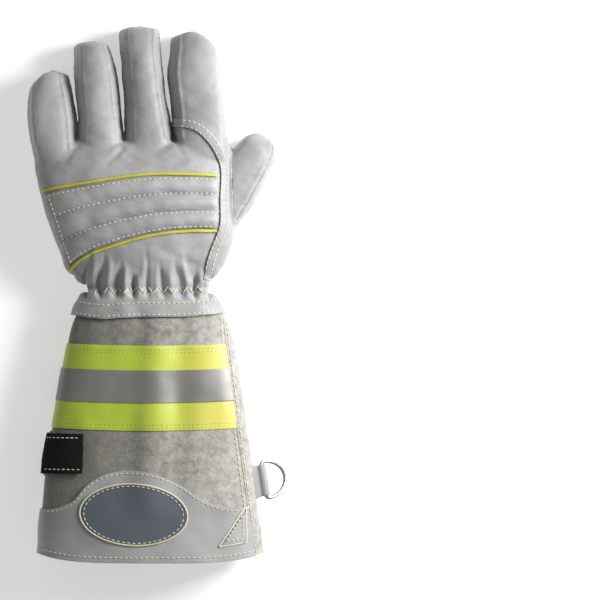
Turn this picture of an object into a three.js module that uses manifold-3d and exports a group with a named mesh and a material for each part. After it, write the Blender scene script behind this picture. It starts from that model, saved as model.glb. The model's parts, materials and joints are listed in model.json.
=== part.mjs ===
// A firefighter's gauntlet glove for the left hand, lying palm down. Millimetres.
// +X is the thumb side, +Y runs from the cuff to the fingertips, +Z is up, off the back of the hand.
// The shapes are built about the middle of the wrist, on the floor, and centred at the end.
import * as THREE from "three";
import { mergeVertices } from "three/addons/utils/BufferGeometryUtils.js";
import Module from "manifold-3d";

const wasm = await Module();
wasm.setup();

// Driving sizes of the hand
const HAND_LENGTH = 175.2; // wrist line to the middle fingertip
const PALM_LENGTH = 97; // wrist line to the finger crotches
const PALM_BREADTH = 128;
const PALM_DEPTH = 44;
const FINGER_DEPTH = 30;
const LEATHER = 2.2; // grain leather with its lining

// Driving sizes of the cuff
const CUFF_LENGTH = 185; // wrist line to the hem
const HEM_BREADTH = 152;
const HEM_DEPTH = 1.182 * PALM_DEPTH;
const SUEDE = 2;
const LAP = 20; // how far the hand's leather reaches down over the cuff, from the wrist line
const LAP_TUCK = 12; // how far the cuff's top edge is tucked up inside that leather

// Clearances and the smallest detail kept
const GAP = 0.3; // between neighbouring pieces
const WELD = 0.06;
const BEYOND = 60; // how far a cutting solid runs past what it cuts

// The hand's body, from below the wrist to the crotches.
// along: share of PALM_LENGTH from the wrist line, or of LAP below it.
// left, right: shares of PALM_BREADTH. low, high: shares of PALM_DEPTH.
// pucker: share of the full gather. folds: faces across the back, and across the palm.
const HAND_SECTIONS = [
  { along: -1.0, left: -0.414, right: 0.434, low: 0.045, high: 1.0, pucker: 0.0, folds: 18 },
  { along: -0.72, left: -0.403, right: 0.424, low: 0.045, high: 0.975, pucker: 0.15, folds: 18 },
  { along: -0.42, left: -0.378, right: 0.4, low: 0.045, high: 0.94, pucker: 0.6, folds: 18 },
  { along: 0.0, left: -0.328, right: 0.33, low: 0.05, high: 0.87, pucker: 1.0, folds: 18 },
  { along: 0.06, left: -0.385, right: 0.345, low: 0.03, high: 0.9, pucker: 0.95, folds: 18 },
  { along: 0.13, left: -0.437, right: 0.39, low: 0.0, high: 0.95, pucker: 0.6, folds: 18 },
  { along: 0.24, left: -0.465, right: 0.428, low: -0.01, high: 1.0, pucker: 0.22, folds: 18 },
  { along: 0.38, left: -0.505, right: 0.448, low: -0.01, high: 1.02, pucker: 0.0, folds: 12 },
  { along: 0.55, left: -0.547, right: 0.447, low: -0.01, high: 1.03, pucker: 0.0, folds: 12 },
  { along: 0.73, left: -0.58, right: 0.441, low: 0.0, high: 1.02, pucker: 0.0, folds: 12 },
  { along: 0.88, left: -0.6, right: 0.438, low: 0.04, high: 0.96, pucker: 0.0, folds: 12 },
  { along: 0.98, left: -0.605, right: 0.434, low: 0.12, high: 0.86, pucker: 0.0, folds: 12 },
  { along: 1.03, left: -0.58, right: 0.41, low: 0.28, high: 0.68, pucker: 0.0, folds: 12 },
];
const PUCKER_DEPTH = 1.6; // half the height of one fold of the gathered wrist
const PUCKER_OUT = 0.7; // how far a fold's crest stands out, a share of that
const PUCKER_IN = -1.3; // how far its valley is drawn in
const SIDE_LIMIT = 0.985; // how near the hand's side a piece may be laid on its back

// The fingers. root, tip: places of the centre line, shares of PALM_BREADTH.
// bow: how far it swings aside halfway. width: share of PALM_BREADTH. slant: slope of the tip.
// reach: share of HAND_LENGTH from the wrist line to the tip.
const FINGERS = [
  { name: "pinky", root: -0.474, tip: -0.5, bow: -0.018, reach: 0.831, width: 0.25, slant: 0.34 },
  { name: "ring", root: -0.238, tip: -0.283, bow: 0.012, reach: 0.94, width: 0.228, slant: 0.03 },
  { name: "middle", root: 0.029, tip: -0.045, bow: 0.0, reach: 1.0, width: 0.231, slant: 0.1 },
  { name: "index", root: 0.308, tip: 0.236, bow: -0.012, reach: 0.986, width: 0.272, slant: -0.25 },
];
const FINGER_ROOT = 0.82; // where the fingers start inside the hand, a share of PALM_LENGTH
const FINGER_POINTS = 10;
// along: share of the finger's length. wide: share of its width. low, high: shares of FINGER_DEPTH.
const FINGER_SECTIONS = [
  { along: 0.0, wide: 0.86, low: 0.16, high: 1.16 },
  { along: 0.42, wide: 1.0, low: 0.17, high: 1.21 },
  { along: 0.62, wide: 1.0, low: 0.13, high: 1.17 },
  { along: 0.78, wide: 0.96, low: 0.06, high: 1.08 },
  { along: 0.89, wide: 0.92, low: 0.0, high: 0.98 },
  { along: 0.965, wide: 0.79, low: 0.01, high: 0.84 },
  { along: 1.0, wide: 0.56, low: 0.13, high: 0.63 },
];

// The thumb. x, y: shares of PALM_BREADTH and PALM_LENGTH.
// wide: share of THUMB_WIDTH. low, high: shares of THUMB_DEPTH.
const THUMB_WIDTH = 33;
const THUMB_DEPTH = 32;
const THUMB_SECTIONS = [
  { x: 0.25, y: 0.28, wide: 0.86, low: 0.12, high: 0.86 },
  { x: 0.34, y: 0.46, wide: 0.96, low: 0.05, high: 0.96 },
  { x: 0.43, y: 0.64, wide: 1.0, low: 0.02, high: 1.0 },
  { x: 0.505, y: 0.8, wide: 0.95, low: 0.0, high: 0.96 },
  { x: 0.56, y: 0.915, wide: 0.85, low: 0.0, high: 0.9 },
  { x: 0.6, y: 0.995, wide: 0.68, low: 0.03, high: 0.8 },
  { x: 0.628, y: 1.045, wide: 0.38, low: 0.16, high: 0.62 },
];
const THUMB_POINTS = 10;
const THUMB_SEAM_IN = 0.62; // height of its seam at the middle, a share of THUMB_DEPTH
const THUMB_SEAM_SLOPE = 0.5; // how fast the seam rises towards the outer side

// The cuff, from its tucked top edge to the hem.
// along: share of the way from the wrist line to the hem.
// left, right: shares of HEM_BREADTH. low, high: shares of HEM_DEPTH.
const CUFF_TOP = { left: -0.272, right: 0.29, low: 0.15, high: 0.7 }; // tucked up inside the hand's leather
const CUFF_SECTIONS = [
  { along: 0.117, left: -0.328, right: 0.342, low: 0.115, high: 0.765 },
  { along: 0.198, left: -0.352, right: 0.38, low: 0.1, high: 0.812 },
  { along: 0.3, left: -0.38, right: 0.405, low: 0.105, high: 0.845 },
  { along: 0.411, left: -0.403, right: 0.423, low: 0.11, high: 0.875 },
  { along: 0.506, left: -0.423, right: 0.438, low: 0.112, high: 0.895 },
  { along: 0.594, left: -0.441, right: 0.454, low: 0.112, high: 0.912 },
  { along: 0.655, left: -0.45, right: 0.462, low: 0.112, high: 0.925 },
  { along: 0.72, left: -0.459, right: 0.47, low: 0.112, high: 0.938 },
  { along: 0.81, left: -0.468, right: 0.484, low: 0.04, high: 0.955 },
  { along: 0.905, left: -0.478, right: 0.503, low: 0.01, high: 0.975 },
  { along: 1.0, left: -0.487, right: 0.512, low: -0.005, high: 1.0 },
];
const CUFF_FACES = 14; // faces across the back, and across the palm side where it has no flutes
const FLUTE_FACES = 28;
// The flutes that spread from under the strap to the hem, on the palm side.
// across: place, a share of HEM_BREADTH. wide: half width, the same. rise: share of FLUTE_RISE.
const FLUTE_RISE = 9;
const FLUTES = [
  { across: -0.3, wide: 0.06, rise: 0.5 },
  { across: -0.13, wide: 0.06, rise: 0.75 },
  { across: 0.04, wide: 0.06, rise: 0.9 },
  { across: 0.2, wide: 0.06, rise: 1.0 },
  { across: 0.36, wide: 0.06, rise: 0.8 },
];
const FLUTE_START = 0.655; // share of the cuff's length where the flutes begin
const FLUTE_EDGE = 1.6; // how fast the flutes fade out at the cuff's sides
const HEM_BOW = 6; // how much farther up the hem lies at the sides than in the middle
const HEM_BOW_START = 0.72; // share of the cuff's length where that begins

// How square the sections are: 2 is an ellipse, more is squarer
const BACK_POWER = 2.5;
const PALM_POWER = 3.6;
const FINGER_POWER = 3;
const SIDE_CROWDING = 0.35; // how much closer the points of a section stand at its sides

// Heights of the seam between the back and palm leathers.
// y: share of HAND_LENGTH. z: share of PALM_DEPTH.
const SIDE_SEAM = [
  { y: -0.6, z: 0.62 },
  { y: 0.0, z: 0.62 },
  { y: 0.3, z: 0.68 },
  { y: 0.55, z: 0.62 },
  { y: 0.75, z: 0.54 },
  { y: 0.9, z: 0.42 },
  { y: 1.2, z: 0.36 },
];
// Heights of the strips between the fingers, the same way
const FINGER_WALL = [
  { y: 0.3, low: 0.26, high: 0.68 },
  { y: 0.62, low: 0.26, high: 0.68 },
  { y: 0.8, low: 0.22, high: 0.6 },
  { y: 1.2, low: 0.18, high: 0.42 },
];
const FRONT_SEAM = 0.93; // the seam across the palm below the fingers, a share of PALM_LENGTH
const FINGERTIP_SHELL = 9; // how far short of a fingertip those strips end
const WALL_START = 0.9; // where those strips start, a share of PALM_LENGTH

// The curve where the back's leather meets the index leather: shares of PALM_BREADTH and PALM_LENGTH
const WELT_LINE = [
  { x: 0.131, y: 1.14 },
  { x: 0.258, y: 1.107 },
  { x: 0.318, y: 1.041 },
  { x: 0.392, y: 0.88 },
  { x: 0.4, y: 0.6 },
  { x: 0.397, y: 0.416 },
  { x: 0.345, y: 0.23 },
  { x: 0.305, y: 0.048 },
];
// Where the two leathers part between the middle and index fingers, the same way
const FINGER_PARTING = [
  { x: 0.08, y: 2.1 },
  { x: 0.092, y: 1.65 },
  { x: 0.115, y: 1.32 },
];
const WELT_WIDTH = 6;
const WELT_THICK = 1;
const WELT_STEPS = 22;
const PARTING_STEPS = 18;

// The quilted knuckle pad, from the lower cord to the upper one, a row for each place across the hand.
// x: shares of PALM_BREADTH. y: shares of PALM_LENGTH.
const PAD_EDGES = [
  { lowX: -0.41, lowY: 0.104, highX: -0.555, highY: 0.658 },
  { lowX: -0.376, lowY: 0.159, highX: -0.51, highY: 0.674 },
  { lowX: -0.295, lowY: 0.229, highX: -0.4, highY: 0.7 },
  { lowX: -0.195, lowY: 0.277, highX: -0.274, highY: 0.728 },
  { lowX: -0.074, lowY: 0.326, highX: -0.126, highY: 0.756 },
  { lowX: 0.06, lowY: 0.364, highX: 0.026, highY: 0.777 },
  { lowX: 0.2, lowY: 0.384, highX: 0.179, highY: 0.778 },
  { lowX: 0.368, lowY: 0.389, highX: 0.368, highY: 0.771 },
];
const CORD_STEPS = 12; // pieces of each cord
const PAD_CHANNELS = 3;
const CHANNEL_STEPS = 4; // faces across each channel
const PAD_THICK = 1.4; // at the stitched lines
const PAD_RISE = 2.2; // how much higher each channel swells
const PAD_ROUND = 0.8; // less is squarer
const PIPING_RADIUS = 1.1;

// The reflective tape: shares of the cuff's length
const TAPE_TOP = 0.209;
const TAPE_WIDTH = 0.308 * CUFF_LENGTH;
const TAPE_THICK = 0.8;
const SILVER_WIDTH = 21.5;
const SILVER_THICK = 0.6;
const TAPE_END = 0.313; // the seam by the thumb side at the wrist line, a share of HEM_BREADTH
const SEAM_SPREAD = 24; // how much farther out that seam runs at the hem
const CUFF_SEAM = 0.5; // height of the seams at the sides, a share of HEM_DEPTH
const TAPE_UNDER = 0.355; // where its turned-under end lies, a share of HEM_BREADTH

// The leather panel along the hem, with its hump round the oval
const HEM_PANEL_HEIGHT = 34;
const HEM_PANEL_THICK = 1.2;
const HEM_ROLL = 3; // how far it stops short of the hem
const HUMP_CENTRE = -0.062; // share of HEM_BREADTH
const HEM_STEPS = 16;
const HEM_FOOT_STEPS = 6;
// Its upper edge. x: share of HEM_BREADTH. rise: share of HEM_PANEL_HEIGHT above the hem.
const HEM_EDGE = [
  { x: -0.62, rise: 1.07 },
  { x: -0.375, rise: 1.1 },
  { x: -0.316, rise: 1.256 },
  { x: -0.274, rise: 1.494 },
  { x: -0.215, rise: 1.69 },
  { x: -0.128, rise: 1.81 },
  { x: -0.02, rise: 1.81 },
  { x: 0.066, rise: 1.712 },
  { x: 0.151, rise: 1.532 },
  { x: 0.235, rise: 1.276 },
  { x: 0.292, rise: 1.156 },
  { x: 0.62, rise: 1.16 },
];
const OVAL_LENGTH = 76;
const OVAL_WIDTH = 42;
const OVAL_THICK = 1.1;
const OVAL_RISE = 31; // its centre above the hem
const CORNER_LEG = 22; // the stitched triangle by the thumb side
const CORNER_HEIGHT = 25;
const CORNER_RISE = 14; // its foot above the hem
const CORNER_SLANT = 4;

// The round leather guard on the palm side, below the wrist
const GUARD_RADIUS = 43;
const GUARD_DROP = 50;
const GUARD_THICK = 1.2;

// The closing strap on the palm side
const STRAP_Y = 0.604; // its middle, share of the cuff's length
const BACKING_WIDTH = 30;
const BACKING_THICK = 1;
const LOOP_WIDTH = 26.5;
const LOOP_THICK = 1.7;
const LOOP_END = -0.28; // where the loop band ends on the back, a share of HEM_BREADTH
const LOOP_RUN = 0.05; // how far it runs on the palm side, the same
const BACKING_END = 0.4; // the same, for the backing
const PATCH_HIGH = 0.268; // the second loop patch: shares of the cuff's length
const PATCH_LOW = 0.445;
const PATCH_END = -0.36; // a share of HEM_BREADTH
const TAB_WIDTH = 44;
const TAB_THICK = 2.2;
// Its outline. x: share of HEM_BREADTH. above, below: shares of TAB_WIDTH off the strap's middle.
const TAB_OUTLINE = [
  { x: -0.166, above: 0.33, below: 0.3 },
  { x: -0.155, above: 0.43, below: 0.41 },
  { x: -0.135, above: 0.48, below: 0.46 },
  { x: -0.105, above: 0.5, below: 0.48 },
  { x: 0.1, above: 0.48, below: 0.52 },
  { x: 0.25, above: 0.47, below: 0.56 },
  { x: 0.31, above: 0.44, below: 0.62 },
  { x: 0.35, above: 0.28, below: 0.58 },
  { x: 0.383, above: 0.24, below: 0.44 },
];

// The D-ring and the leather loop that holds it
const RING_WIRE = 1.3; // radius of the wire
const RING_HALF = 12.4; // half the height of the D, at the wire's middle
const RING_DEPTH = 17.5; // from the bar to the crown of the D
const RING_CORNER = 1.9;
const WIRE_SIDES = 10;
const RING_ARCS = 10;
const RING_TILT = 34; // degrees that the ring hangs down
const RING_ALONG = 0.704; // share of the cuff's length
const RING_OUT = 6.5; // from the cuff's side to the bar
const RING_HEIGHT = 24; // of the bar above the floor
const RING_TURN = 9; // degrees that the loop points towards the fingers
const TAB_LOOP_WIDTH = 20;
const LOOP_LEATHER = 1.5;
const LOOP_CLEAR = 0.45; // between the wire and the leather round it
const LOOP_REACH = 9; // from the bar back to where the loop is sewn in
const LOOP_RISE = 2; // height of its root above the bar

// Materials: colour, roughness and metalness from the photograph
const material = (color, roughness, metalness = 0) =>
  new THREE.MeshStandardMaterial({ color, roughness, metalness });
const GRAIN_LEATHER = material(0xa9a9ac, 0.6);
const SUEDE_LEATHER = material(0x94918a, 0.95);
const FLUORESCENT = material(0xc6dc3c, 0.6);
const SILVER = material(0x8d8d8b, 0.4, 0.3);
const PIPING = material(0xd8dc3a, 0.55);
const HOOK_LOOP = material(0x141416, 1);
const LABEL = material(0x6b7480, 0.5);
const STEEL = material(0x9b9b9b, 0.3, 1);

// A closed three.js geometry as a solid for cutting and joining.
function solidOf(geometry) {
  const plain = new THREE.BufferGeometry();
  plain.setAttribute("position", geometry.getAttribute("position"));
  plain.setIndex(geometry.getIndex());
  const merged = mergeVertices(plain, 1e-4);
  const solid = new wasm.Manifold(
    new wasm.Mesh({
      numProp: 3,
      vertProperties: merged.attributes.position.array,
      triVerts: new Uint32Array(merged.index.array),
    }),
  );
  return solid;
}

// A solid as a named mesh, without slivers smaller than the weld.
function meshOf(name, solid, look) {
  const data = solid.simplify(WELD).getMesh();
  const points = new Float32Array(data.numVert * 3);
  for (let i = 0; i < data.numVert; i++) {
    points.set(data.vertProperties.subarray(i * data.numProp, i * data.numProp + 3), i * 3);
  }
  const geometry = new THREE.BufferGeometry();
  geometry.setAttribute("position", new THREE.BufferAttribute(points, 3));
  geometry.setIndex(new THREE.BufferAttribute(new Uint32Array(data.triVerts), 1));
  geometry.computeVertexNormals();
  const mesh = new THREE.Mesh(geometry, look);
  mesh.name = name;
  return mesh;
}

// The triangles between two rings that may have different counts, both running the same way round.
function band(first, firstAt, second, secondAt, triangles) {
  let i = 0;
  let j = 0;
  const share = (ring, k) => (k < ring.length && ring.shares ? ring.shares[k] : k / ring.length);
  while (i < first.length || j < second.length) {
    const a = firstAt + (i % first.length);
    const b = secondAt + (j % second.length);
    if (j >= second.length || (i < first.length && share(first, i + 1) <= share(second, j + 1))) {
      triangles.push(a, firstAt + ((i + 1) % first.length), b);
      i += 1;
    } else {
      triangles.push(a, secondAt + ((j + 1) % second.length), b);
      j += 1;
    }
  }
}

// A solid through a row of rings. A closed loft joins its last ring to the first, as a bent wire ring does.
function loft(rings, closed = false) {
  const positions = [];
  const starts = [];
  rings.forEach((ring) => {
    starts.push(positions.length / 3);
    ring.forEach((p) => positions.push(p.x, p.y, p.z));
  });
  const triangles = [];
  for (let r = 0; r + 1 < rings.length; r++) {
    band(rings[r], starts[r], rings[r + 1], starts[r + 1], triangles);
  }
  const last = rings.length - 1;
  if (closed) {
    band(rings[last], starts[last], rings[0], starts[0], triangles);
  } else {
    [0, last].forEach((r) => {
      const middle = new THREE.Vector3();
      rings[r].forEach((p) => middle.addScaledVector(p, 1 / rings[r].length));
      const centre = positions.length / 3;
      positions.push(middle.x, middle.y, middle.z);
      rings[r].forEach((_, i) => {
        const here = starts[r] + i;
        const next = starts[r] + ((i + 1) % rings[r].length);
        triangles.push(...(r === 0 ? [next, here, centre] : [here, next, centre]));
      });
    });
  }
  const geometry = new THREE.BufferGeometry();
  geometry.setAttribute("position", new THREE.Float32BufferAttribute(positions, 3));
  geometry.setIndex(triangles);
  const solid = solidOf(geometry);
  if (solid.volume() > 0) return solid;
  for (let i = 0; i < triangles.length; i += 3) {
    [triangles[i], triangles[i + 1]] = [triangles[i + 1], triangles[i]];
  }
  geometry.setIndex(triangles);
  return solidOf(geometry);
}

// The signed power that makes a rounded section squarer.
const squared = (value, power) => Math.sign(value) * Math.abs(value) ** (2 / power);

// The places round a section from the thumb side over the back and home along the palm, closer at the sides.
// from: share of the half breadth off the middle. rise: share of the half depth.
function sectionTurns(over, under) {
  const place = (share, across, power, sign) => {
    const from = across * (1 + SIDE_CROWDING - SIDE_CROWDING * across * across);
    return { share, from, rise: sign * Math.max(0, 1 - Math.abs(from) ** power) ** (1 / power) };
  };
  const above = Array.from({ length: over }, (_, i) =>
    place(i / over / 2, 1 - (2 * i) / over, BACK_POWER, 1),
  );
  const below = Array.from({ length: under }, (_, i) =>
    place((1 + i / under) / 2, (2 * i) / under - 1, PALM_POWER, -1),
  );
  return [...above, ...below];
}
// A ring of points at those places, which keeps how far round each one is.
const ringOf = (places, point) =>
  Object.assign(places.map(point), { shares: places.map((place) => place.share) });

// A value of a table at a place, on the straight line between the two rows round it.
function between(rows, key, value, column) {
  let i = 0;
  while (i + 2 < rows.length && rows[i + 1][key] < value) i += 1;
  const share = (value - rows[i][key]) / (rows[i + 1][key] - rows[i][key]);
  return THREE.MathUtils.lerp(rows[i][column], rows[i + 1][column], THREE.MathUtils.clamp(share, 0, 1));
}

// The hand's body: where a row of its table lies, and its section with the wall's inset taken off all round.
const handY = (row) => row.along * (row.along < 0 ? LAP : PALM_LENGTH);
function handRing(row, inset) {
  const left = row.left * PALM_BREADTH + inset;
  const right = row.right * PALM_BREADTH - inset;
  const low = row.low * PALM_DEPTH + inset;
  const high = row.high * PALM_DEPTH - inset;
  return ringOf(sectionTurns(row.folds, row.folds), (place, i) => {
    const fold = row.pucker * PUCKER_DEPTH * (i % 2 ? PUCKER_IN : PUCKER_OUT);
    return new THREE.Vector3(
      (left + right) / 2 + ((right - left) / 2 + fold) * place.from,
      handY(row),
      (low + high) / 2 + ((high - low) / 2 + fold) * place.rise,
    );
  });
}

// A point over the back of the hand, lifted off it square to the surface, clear of the gathers.
function backPoint(x, y, lift) {
  const rows = HAND_SECTIONS.map((row) => ({ ...row, y: handY(row) }));
  const [left, right, low, high] = ["left", "right", "low", "high"].map((column) =>
    between(rows, "y", y, column),
  );
  const centre = ((left + right) / 2) * PALM_BREADTH;
  const half = ((right - left) / 2) * PALM_BREADTH;
  const aside = (x - centre) / half;
  const from = THREE.MathUtils.clamp(aside, -SIDE_LIMIT, SIDE_LIMIT);
  const rise = (1 - Math.abs(from) ** BACK_POWER) ** (1 / BACK_POWER);
  const up = ((high - low) / 2) * PALM_DEPTH + lift;
  return new THREE.Vector3(centre + (half + lift) * from, y, ((low + high) / 2) * PALM_DEPTH + up * rise);
}

// One finger's centre line, and its section.
const fingerX = (finger, along) =>
  PALM_BREADTH *
  (THREE.MathUtils.lerp(finger.root, finger.tip, along) + 4 * finger.bow * along * (1 - along));
const fingerLength = (finger) => finger.reach * HAND_LENGTH - FINGER_ROOT * PALM_LENGTH;
function fingerSolid(finger, inset) {
  const rings = FINGER_SECTIONS.map((row, index) => {
    const tip = index === FINGER_SECTIONS.length - 1;
    const along = FINGER_ROOT * PALM_LENGTH + row.along * fingerLength(finger) - (tip ? inset : 0);
    const half = (row.wide * finger.width * PALM_BREADTH) / 2 - inset;
    const low = row.low * FINGER_DEPTH + inset;
    const high = row.high * FINGER_DEPTH - inset;
    const slope = finger.slant * THREE.MathUtils.smoothstep(row.along, 0.6, 1);
    return Array.from({ length: FINGER_POINTS }, (_, i) => {
      const turn = ((i + 0.5) / FINGER_POINTS) * 2 * Math.PI;
      const aside = half * squared(Math.cos(turn), FINGER_POWER);
      const z = (low + high) / 2 + ((high - low) / 2) * squared(Math.sin(turn), FINGER_POWER);
      return new THREE.Vector3(fingerX(finger, row.along) + aside, along + slope * aside, z);
    });
  });
  return loft(rings);
}

// The thumb, with each section square to its centre line.
function thumbSolid(inset) {
  const centres = THUMB_SECTIONS.map((row) => new THREE.Vector2(row.x * PALM_BREADTH, row.y * PALM_LENGTH));
  const rings = THUMB_SECTIONS.map((row, index) => {
    const before = centres[Math.max(0, index - 1)];
    const after = centres[Math.min(centres.length - 1, index + 1)];
    const ahead = after.clone().sub(before).normalize();
    const tip = index === THUMB_SECTIONS.length - 1;
    const centre = centres[index].clone().addScaledVector(ahead, tip ? -inset : 0);
    const half = (row.wide * THUMB_WIDTH) / 2 - inset;
    const low = row.low * THUMB_DEPTH + inset;
    const high = row.high * THUMB_DEPTH - inset;
    return Array.from({ length: THUMB_POINTS }, (_, i) => {
      const turn = ((i + 0.5) / THUMB_POINTS) * 2 * Math.PI;
      const aside = half * squared(Math.cos(turn), FINGER_POWER);
      const z = (low + high) / 2 + ((high - low) / 2) * squared(Math.sin(turn), FINGER_POWER);
      return new THREE.Vector3(centre.x + ahead.y * aside, centre.y - ahead.x * aside, z);
    });
  });
  return loft(rings);
}

// The cuff's sections. extend lengthens the hem end, so that an inner form cuts the mouth open.
const cuffY = (along) => -along * CUFF_LENGTH;
function fluteRise(x, along) {
  const spread = THREE.MathUtils.smoothstep(along, FLUTE_START, 1);
  return FLUTES.reduce((rise, flute) => {
    const from = (x / HEM_BREADTH - flute.across) / flute.wide;
    return rise + flute.rise * FLUTE_RISE * spread * Math.exp(-from * from);
  }, 0);
}
const hemBow = (from, along) => HEM_BOW * from ** 4 * THREE.MathUtils.smoothstep(along, HEM_BOW_START, 1);
function cuffSolid(inset, extend = 0) {
  const rows = [{ along: (LAP - LAP_TUCK) / CUFF_LENGTH, ...CUFF_TOP }, ...CUFF_SECTIONS];
  const rings = rows.map((row) => {
    const left = row.left * HEM_BREADTH + inset;
    const right = row.right * HEM_BREADTH - inset;
    const low = row.low * HEM_DEPTH + inset;
    const high = row.high * HEM_DEPTH - inset;
    const centre = ((row.left + row.right) / 2) * HEM_BREADTH;
    const half = ((row.right - row.left) / 2) * HEM_BREADTH;
    const fluted = row.along > FLUTE_START;
    return ringOf(sectionTurns(CUFF_FACES, fluted ? FLUTE_FACES : CUFF_FACES), (place) => {
      const x = (left + right) / 2 + ((right - left) / 2) * place.from;
      const z = (low + high) / 2 + ((high - low) / 2) * place.rise;
      const rise = fluteRise(centre + half * place.from, row.along);
      const under = Math.min(1, FLUTE_EDGE * Math.max(0, -place.rise));
      return new THREE.Vector3(x, cuffY(row.along) + hemBow(place.from, row.along), z + rise * under);
    });
  });
  if (extend) {
    const moved = (ring, step) =>
      Object.assign(ring.map((p) => new THREE.Vector3(p.x, p.y + step, p.z)), { shares: ring.shares });
    rings.unshift(moved(rings[0], extend));
    rings.push(moved(rings.at(-1), -extend));
  }
  return loft(rings);
}

// An upright prism over an outline in the XY plane.
function prism(outline, from = -BEYOND, to = 2 * BEYOND) {
  const depth = to - from;
  const geometry = new THREE.ExtrudeGeometry(outline, { depth, bevelEnabled: false, curveSegments: 10 });
  geometry.translate(0, 0, from);
  return solidOf(geometry);
}
const outlineOf = (points) => new THREE.Shape(points.map((p) => new THREE.Vector2(p.x, p.y)));
const block = (x0, x1, y0, y1, z0 = -BEYOND, z1 = 2 * BEYOND) =>
  prism(outlineOf([{ x: x0, y: y0 }, { x: x1, y: y0 }, { x: x1, y: y1 }, { x: x0, y: y1 }]), z0, z1);

// A solid between two heights that change along Y, from one side to the other.
function heightSlab(rows, low, high, left = -3 * BEYOND, right = 3 * BEYOND) {
  return loft(
    rows.map((row) => {
      const y = row.y * HAND_LENGTH;
      return [
        new THREE.Vector3(left, y, low(row)),
        new THREE.Vector3(right, y, low(row)),
        new THREE.Vector3(right, y, high(row)),
        new THREE.Vector3(left, y, high(row)),
      ];
    }),
  );
}

// What lies below the floor is taken off, as soft leather flattens where it rests.
const floor = block(-3 * BEYOND, 3 * BEYOND, -5 * BEYOND, 5 * BEYOND, -BEYOND, 0);
const rested = (solid) => solid.subtract(floor);

// The whole hand's form, with every wall moved in by inset. extend opens its wrist end.
function handForm(inset, extend = 0) {
  const rings = HAND_SECTIONS.map((row) => handRing(row, inset));
  if (extend) rings.unshift(rings[0].map((p) => new THREE.Vector3(p.x, p.y - extend, p.z)));
  if (inset > 0) rings[rings.length - 1].forEach((p) => (p.y -= inset));
  return FINGERS.reduce((form, finger) => form.add(fingerSolid(finger, inset)), loft(rings));
}

const handOuter = handForm(0);
const handInner = handForm(LEATHER, 5);
const handGrown = handForm(-GAP);
const thumbInner = thumbSolid(LEATHER);
const handShell = handOuter.subtract(handInner).subtract(thumbInner);
const cuffGrown = cuffSolid(-GAP);

// The outline of a strip that follows a curve, as wide as width.
function stripOutline(curve, width, steps) {
  const sides = [[], []];
  for (let i = 0; i <= steps; i++) {
    const at = curve.getPoint(i / steps);
    const ahead = curve.getTangent(i / steps);
    sides[0].push({ x: at.x - (ahead.y * width) / 2, y: at.y + (ahead.x * width) / 2 });
    sides[1].push({ x: at.x + (ahead.y * width) / 2, y: at.y - (ahead.x * width) / 2 });
  }
  return outlineOf([...sides[0], ...sides[1].reverse()]);
}
const weltCurve = new THREE.SplineCurve(
  WELT_LINE.map((p) => new THREE.Vector2(p.x * PALM_BREADTH, p.y * PALM_LENGTH)),
);

const weltPrism = (grow) =>
  prism(stripOutline(weltCurve, WELT_WIDTH + 2 * grow, WELT_STEPS), 0.5 * PALM_DEPTH);

// The region of the back's leather: above the side seam and to the pinky's side of the welt curve.
function backRegion(grow) {
  const line = weltCurve.getPoints(PARTING_STEPS);
  const end = line[line.length - 1];
  const parting = FINGER_PARTING.map((p) => ({ x: p.x * PALM_BREADTH, y: p.y * PALM_LENGTH }));
  const outline = outlineOf([
    ...[...parting, ...line].map((p) => ({ x: p.x + grow, y: p.y + grow })),
    { x: end.x + grow, y: -BEYOND },
    { x: -3 * BEYOND, y: -BEYOND },
    { x: -3 * BEYOND, y: 2 * HAND_LENGTH },
  ]);
  const above = heightSlab(SIDE_SEAM, (row) => row.z * PALM_DEPTH - grow, () => 2 * BEYOND);
  return prism(outline).intersect(above);
}

// The region of the strip between two fingers: between their centre lines, short of their tips.
function wallRegion(first, second, grow) {
  const start = WALL_START * PALM_LENGTH - grow;
  const side = (finger) => {
    const end = finger.reach * HAND_LENGTH - FINGERTIP_SHELL + grow;
    const share = (end - FINGER_ROOT * PALM_LENGTH) / fingerLength(finger);
    return { foot: fingerX(finger, 0.1), head: fingerX(finger, share), end };
  };
  const a = side(first);
  const b = side(second);
  const split = (a.head + b.head) / 2;
  const outline = outlineOf([
    { x: a.foot, y: start },
    { x: b.foot, y: start },
    { x: b.head, y: b.end },
    { x: split, y: b.end },
    { x: split, y: a.end },
    { x: a.head, y: a.end },
  ]);
  const heights = heightSlab(
    FINGER_WALL,
    (row) => row.low * PALM_DEPTH - grow,
    (row) => row.high * PALM_DEPTH + grow,
  );
  return prism(outline).intersect(heights);
}

// The region of one finger's front leather, below the others and past the seam across the palm.
function frontRegion(index, grow) {
  const finger = FINGERS[index];
  const edge = (other) => (other ? (fingerX(finger, 0.1) + fingerX(other, 0.1)) / 2 : -BEYOND * 3);
  const head = (other) => (other ? (fingerX(finger, 1) + fingerX(other, 1)) / 2 : -BEYOND * 3);
  const [before, after] = [FINGERS[index - 1], FINGERS[index + 1]];
  const aside = GAP / 2 - grow;
  return prism(
    outlineOf([
      { x: edge(before) + aside, y: FRONT_SEAM * PALM_LENGTH - grow },
      { x: edge(after) - aside, y: FRONT_SEAM * PALM_LENGTH - grow },
      { x: head(after) - aside, y: 2 * HAND_LENGTH },
      { x: head(before) + aside, y: 2 * HAND_LENGTH },
    ]),
  );
}

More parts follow.
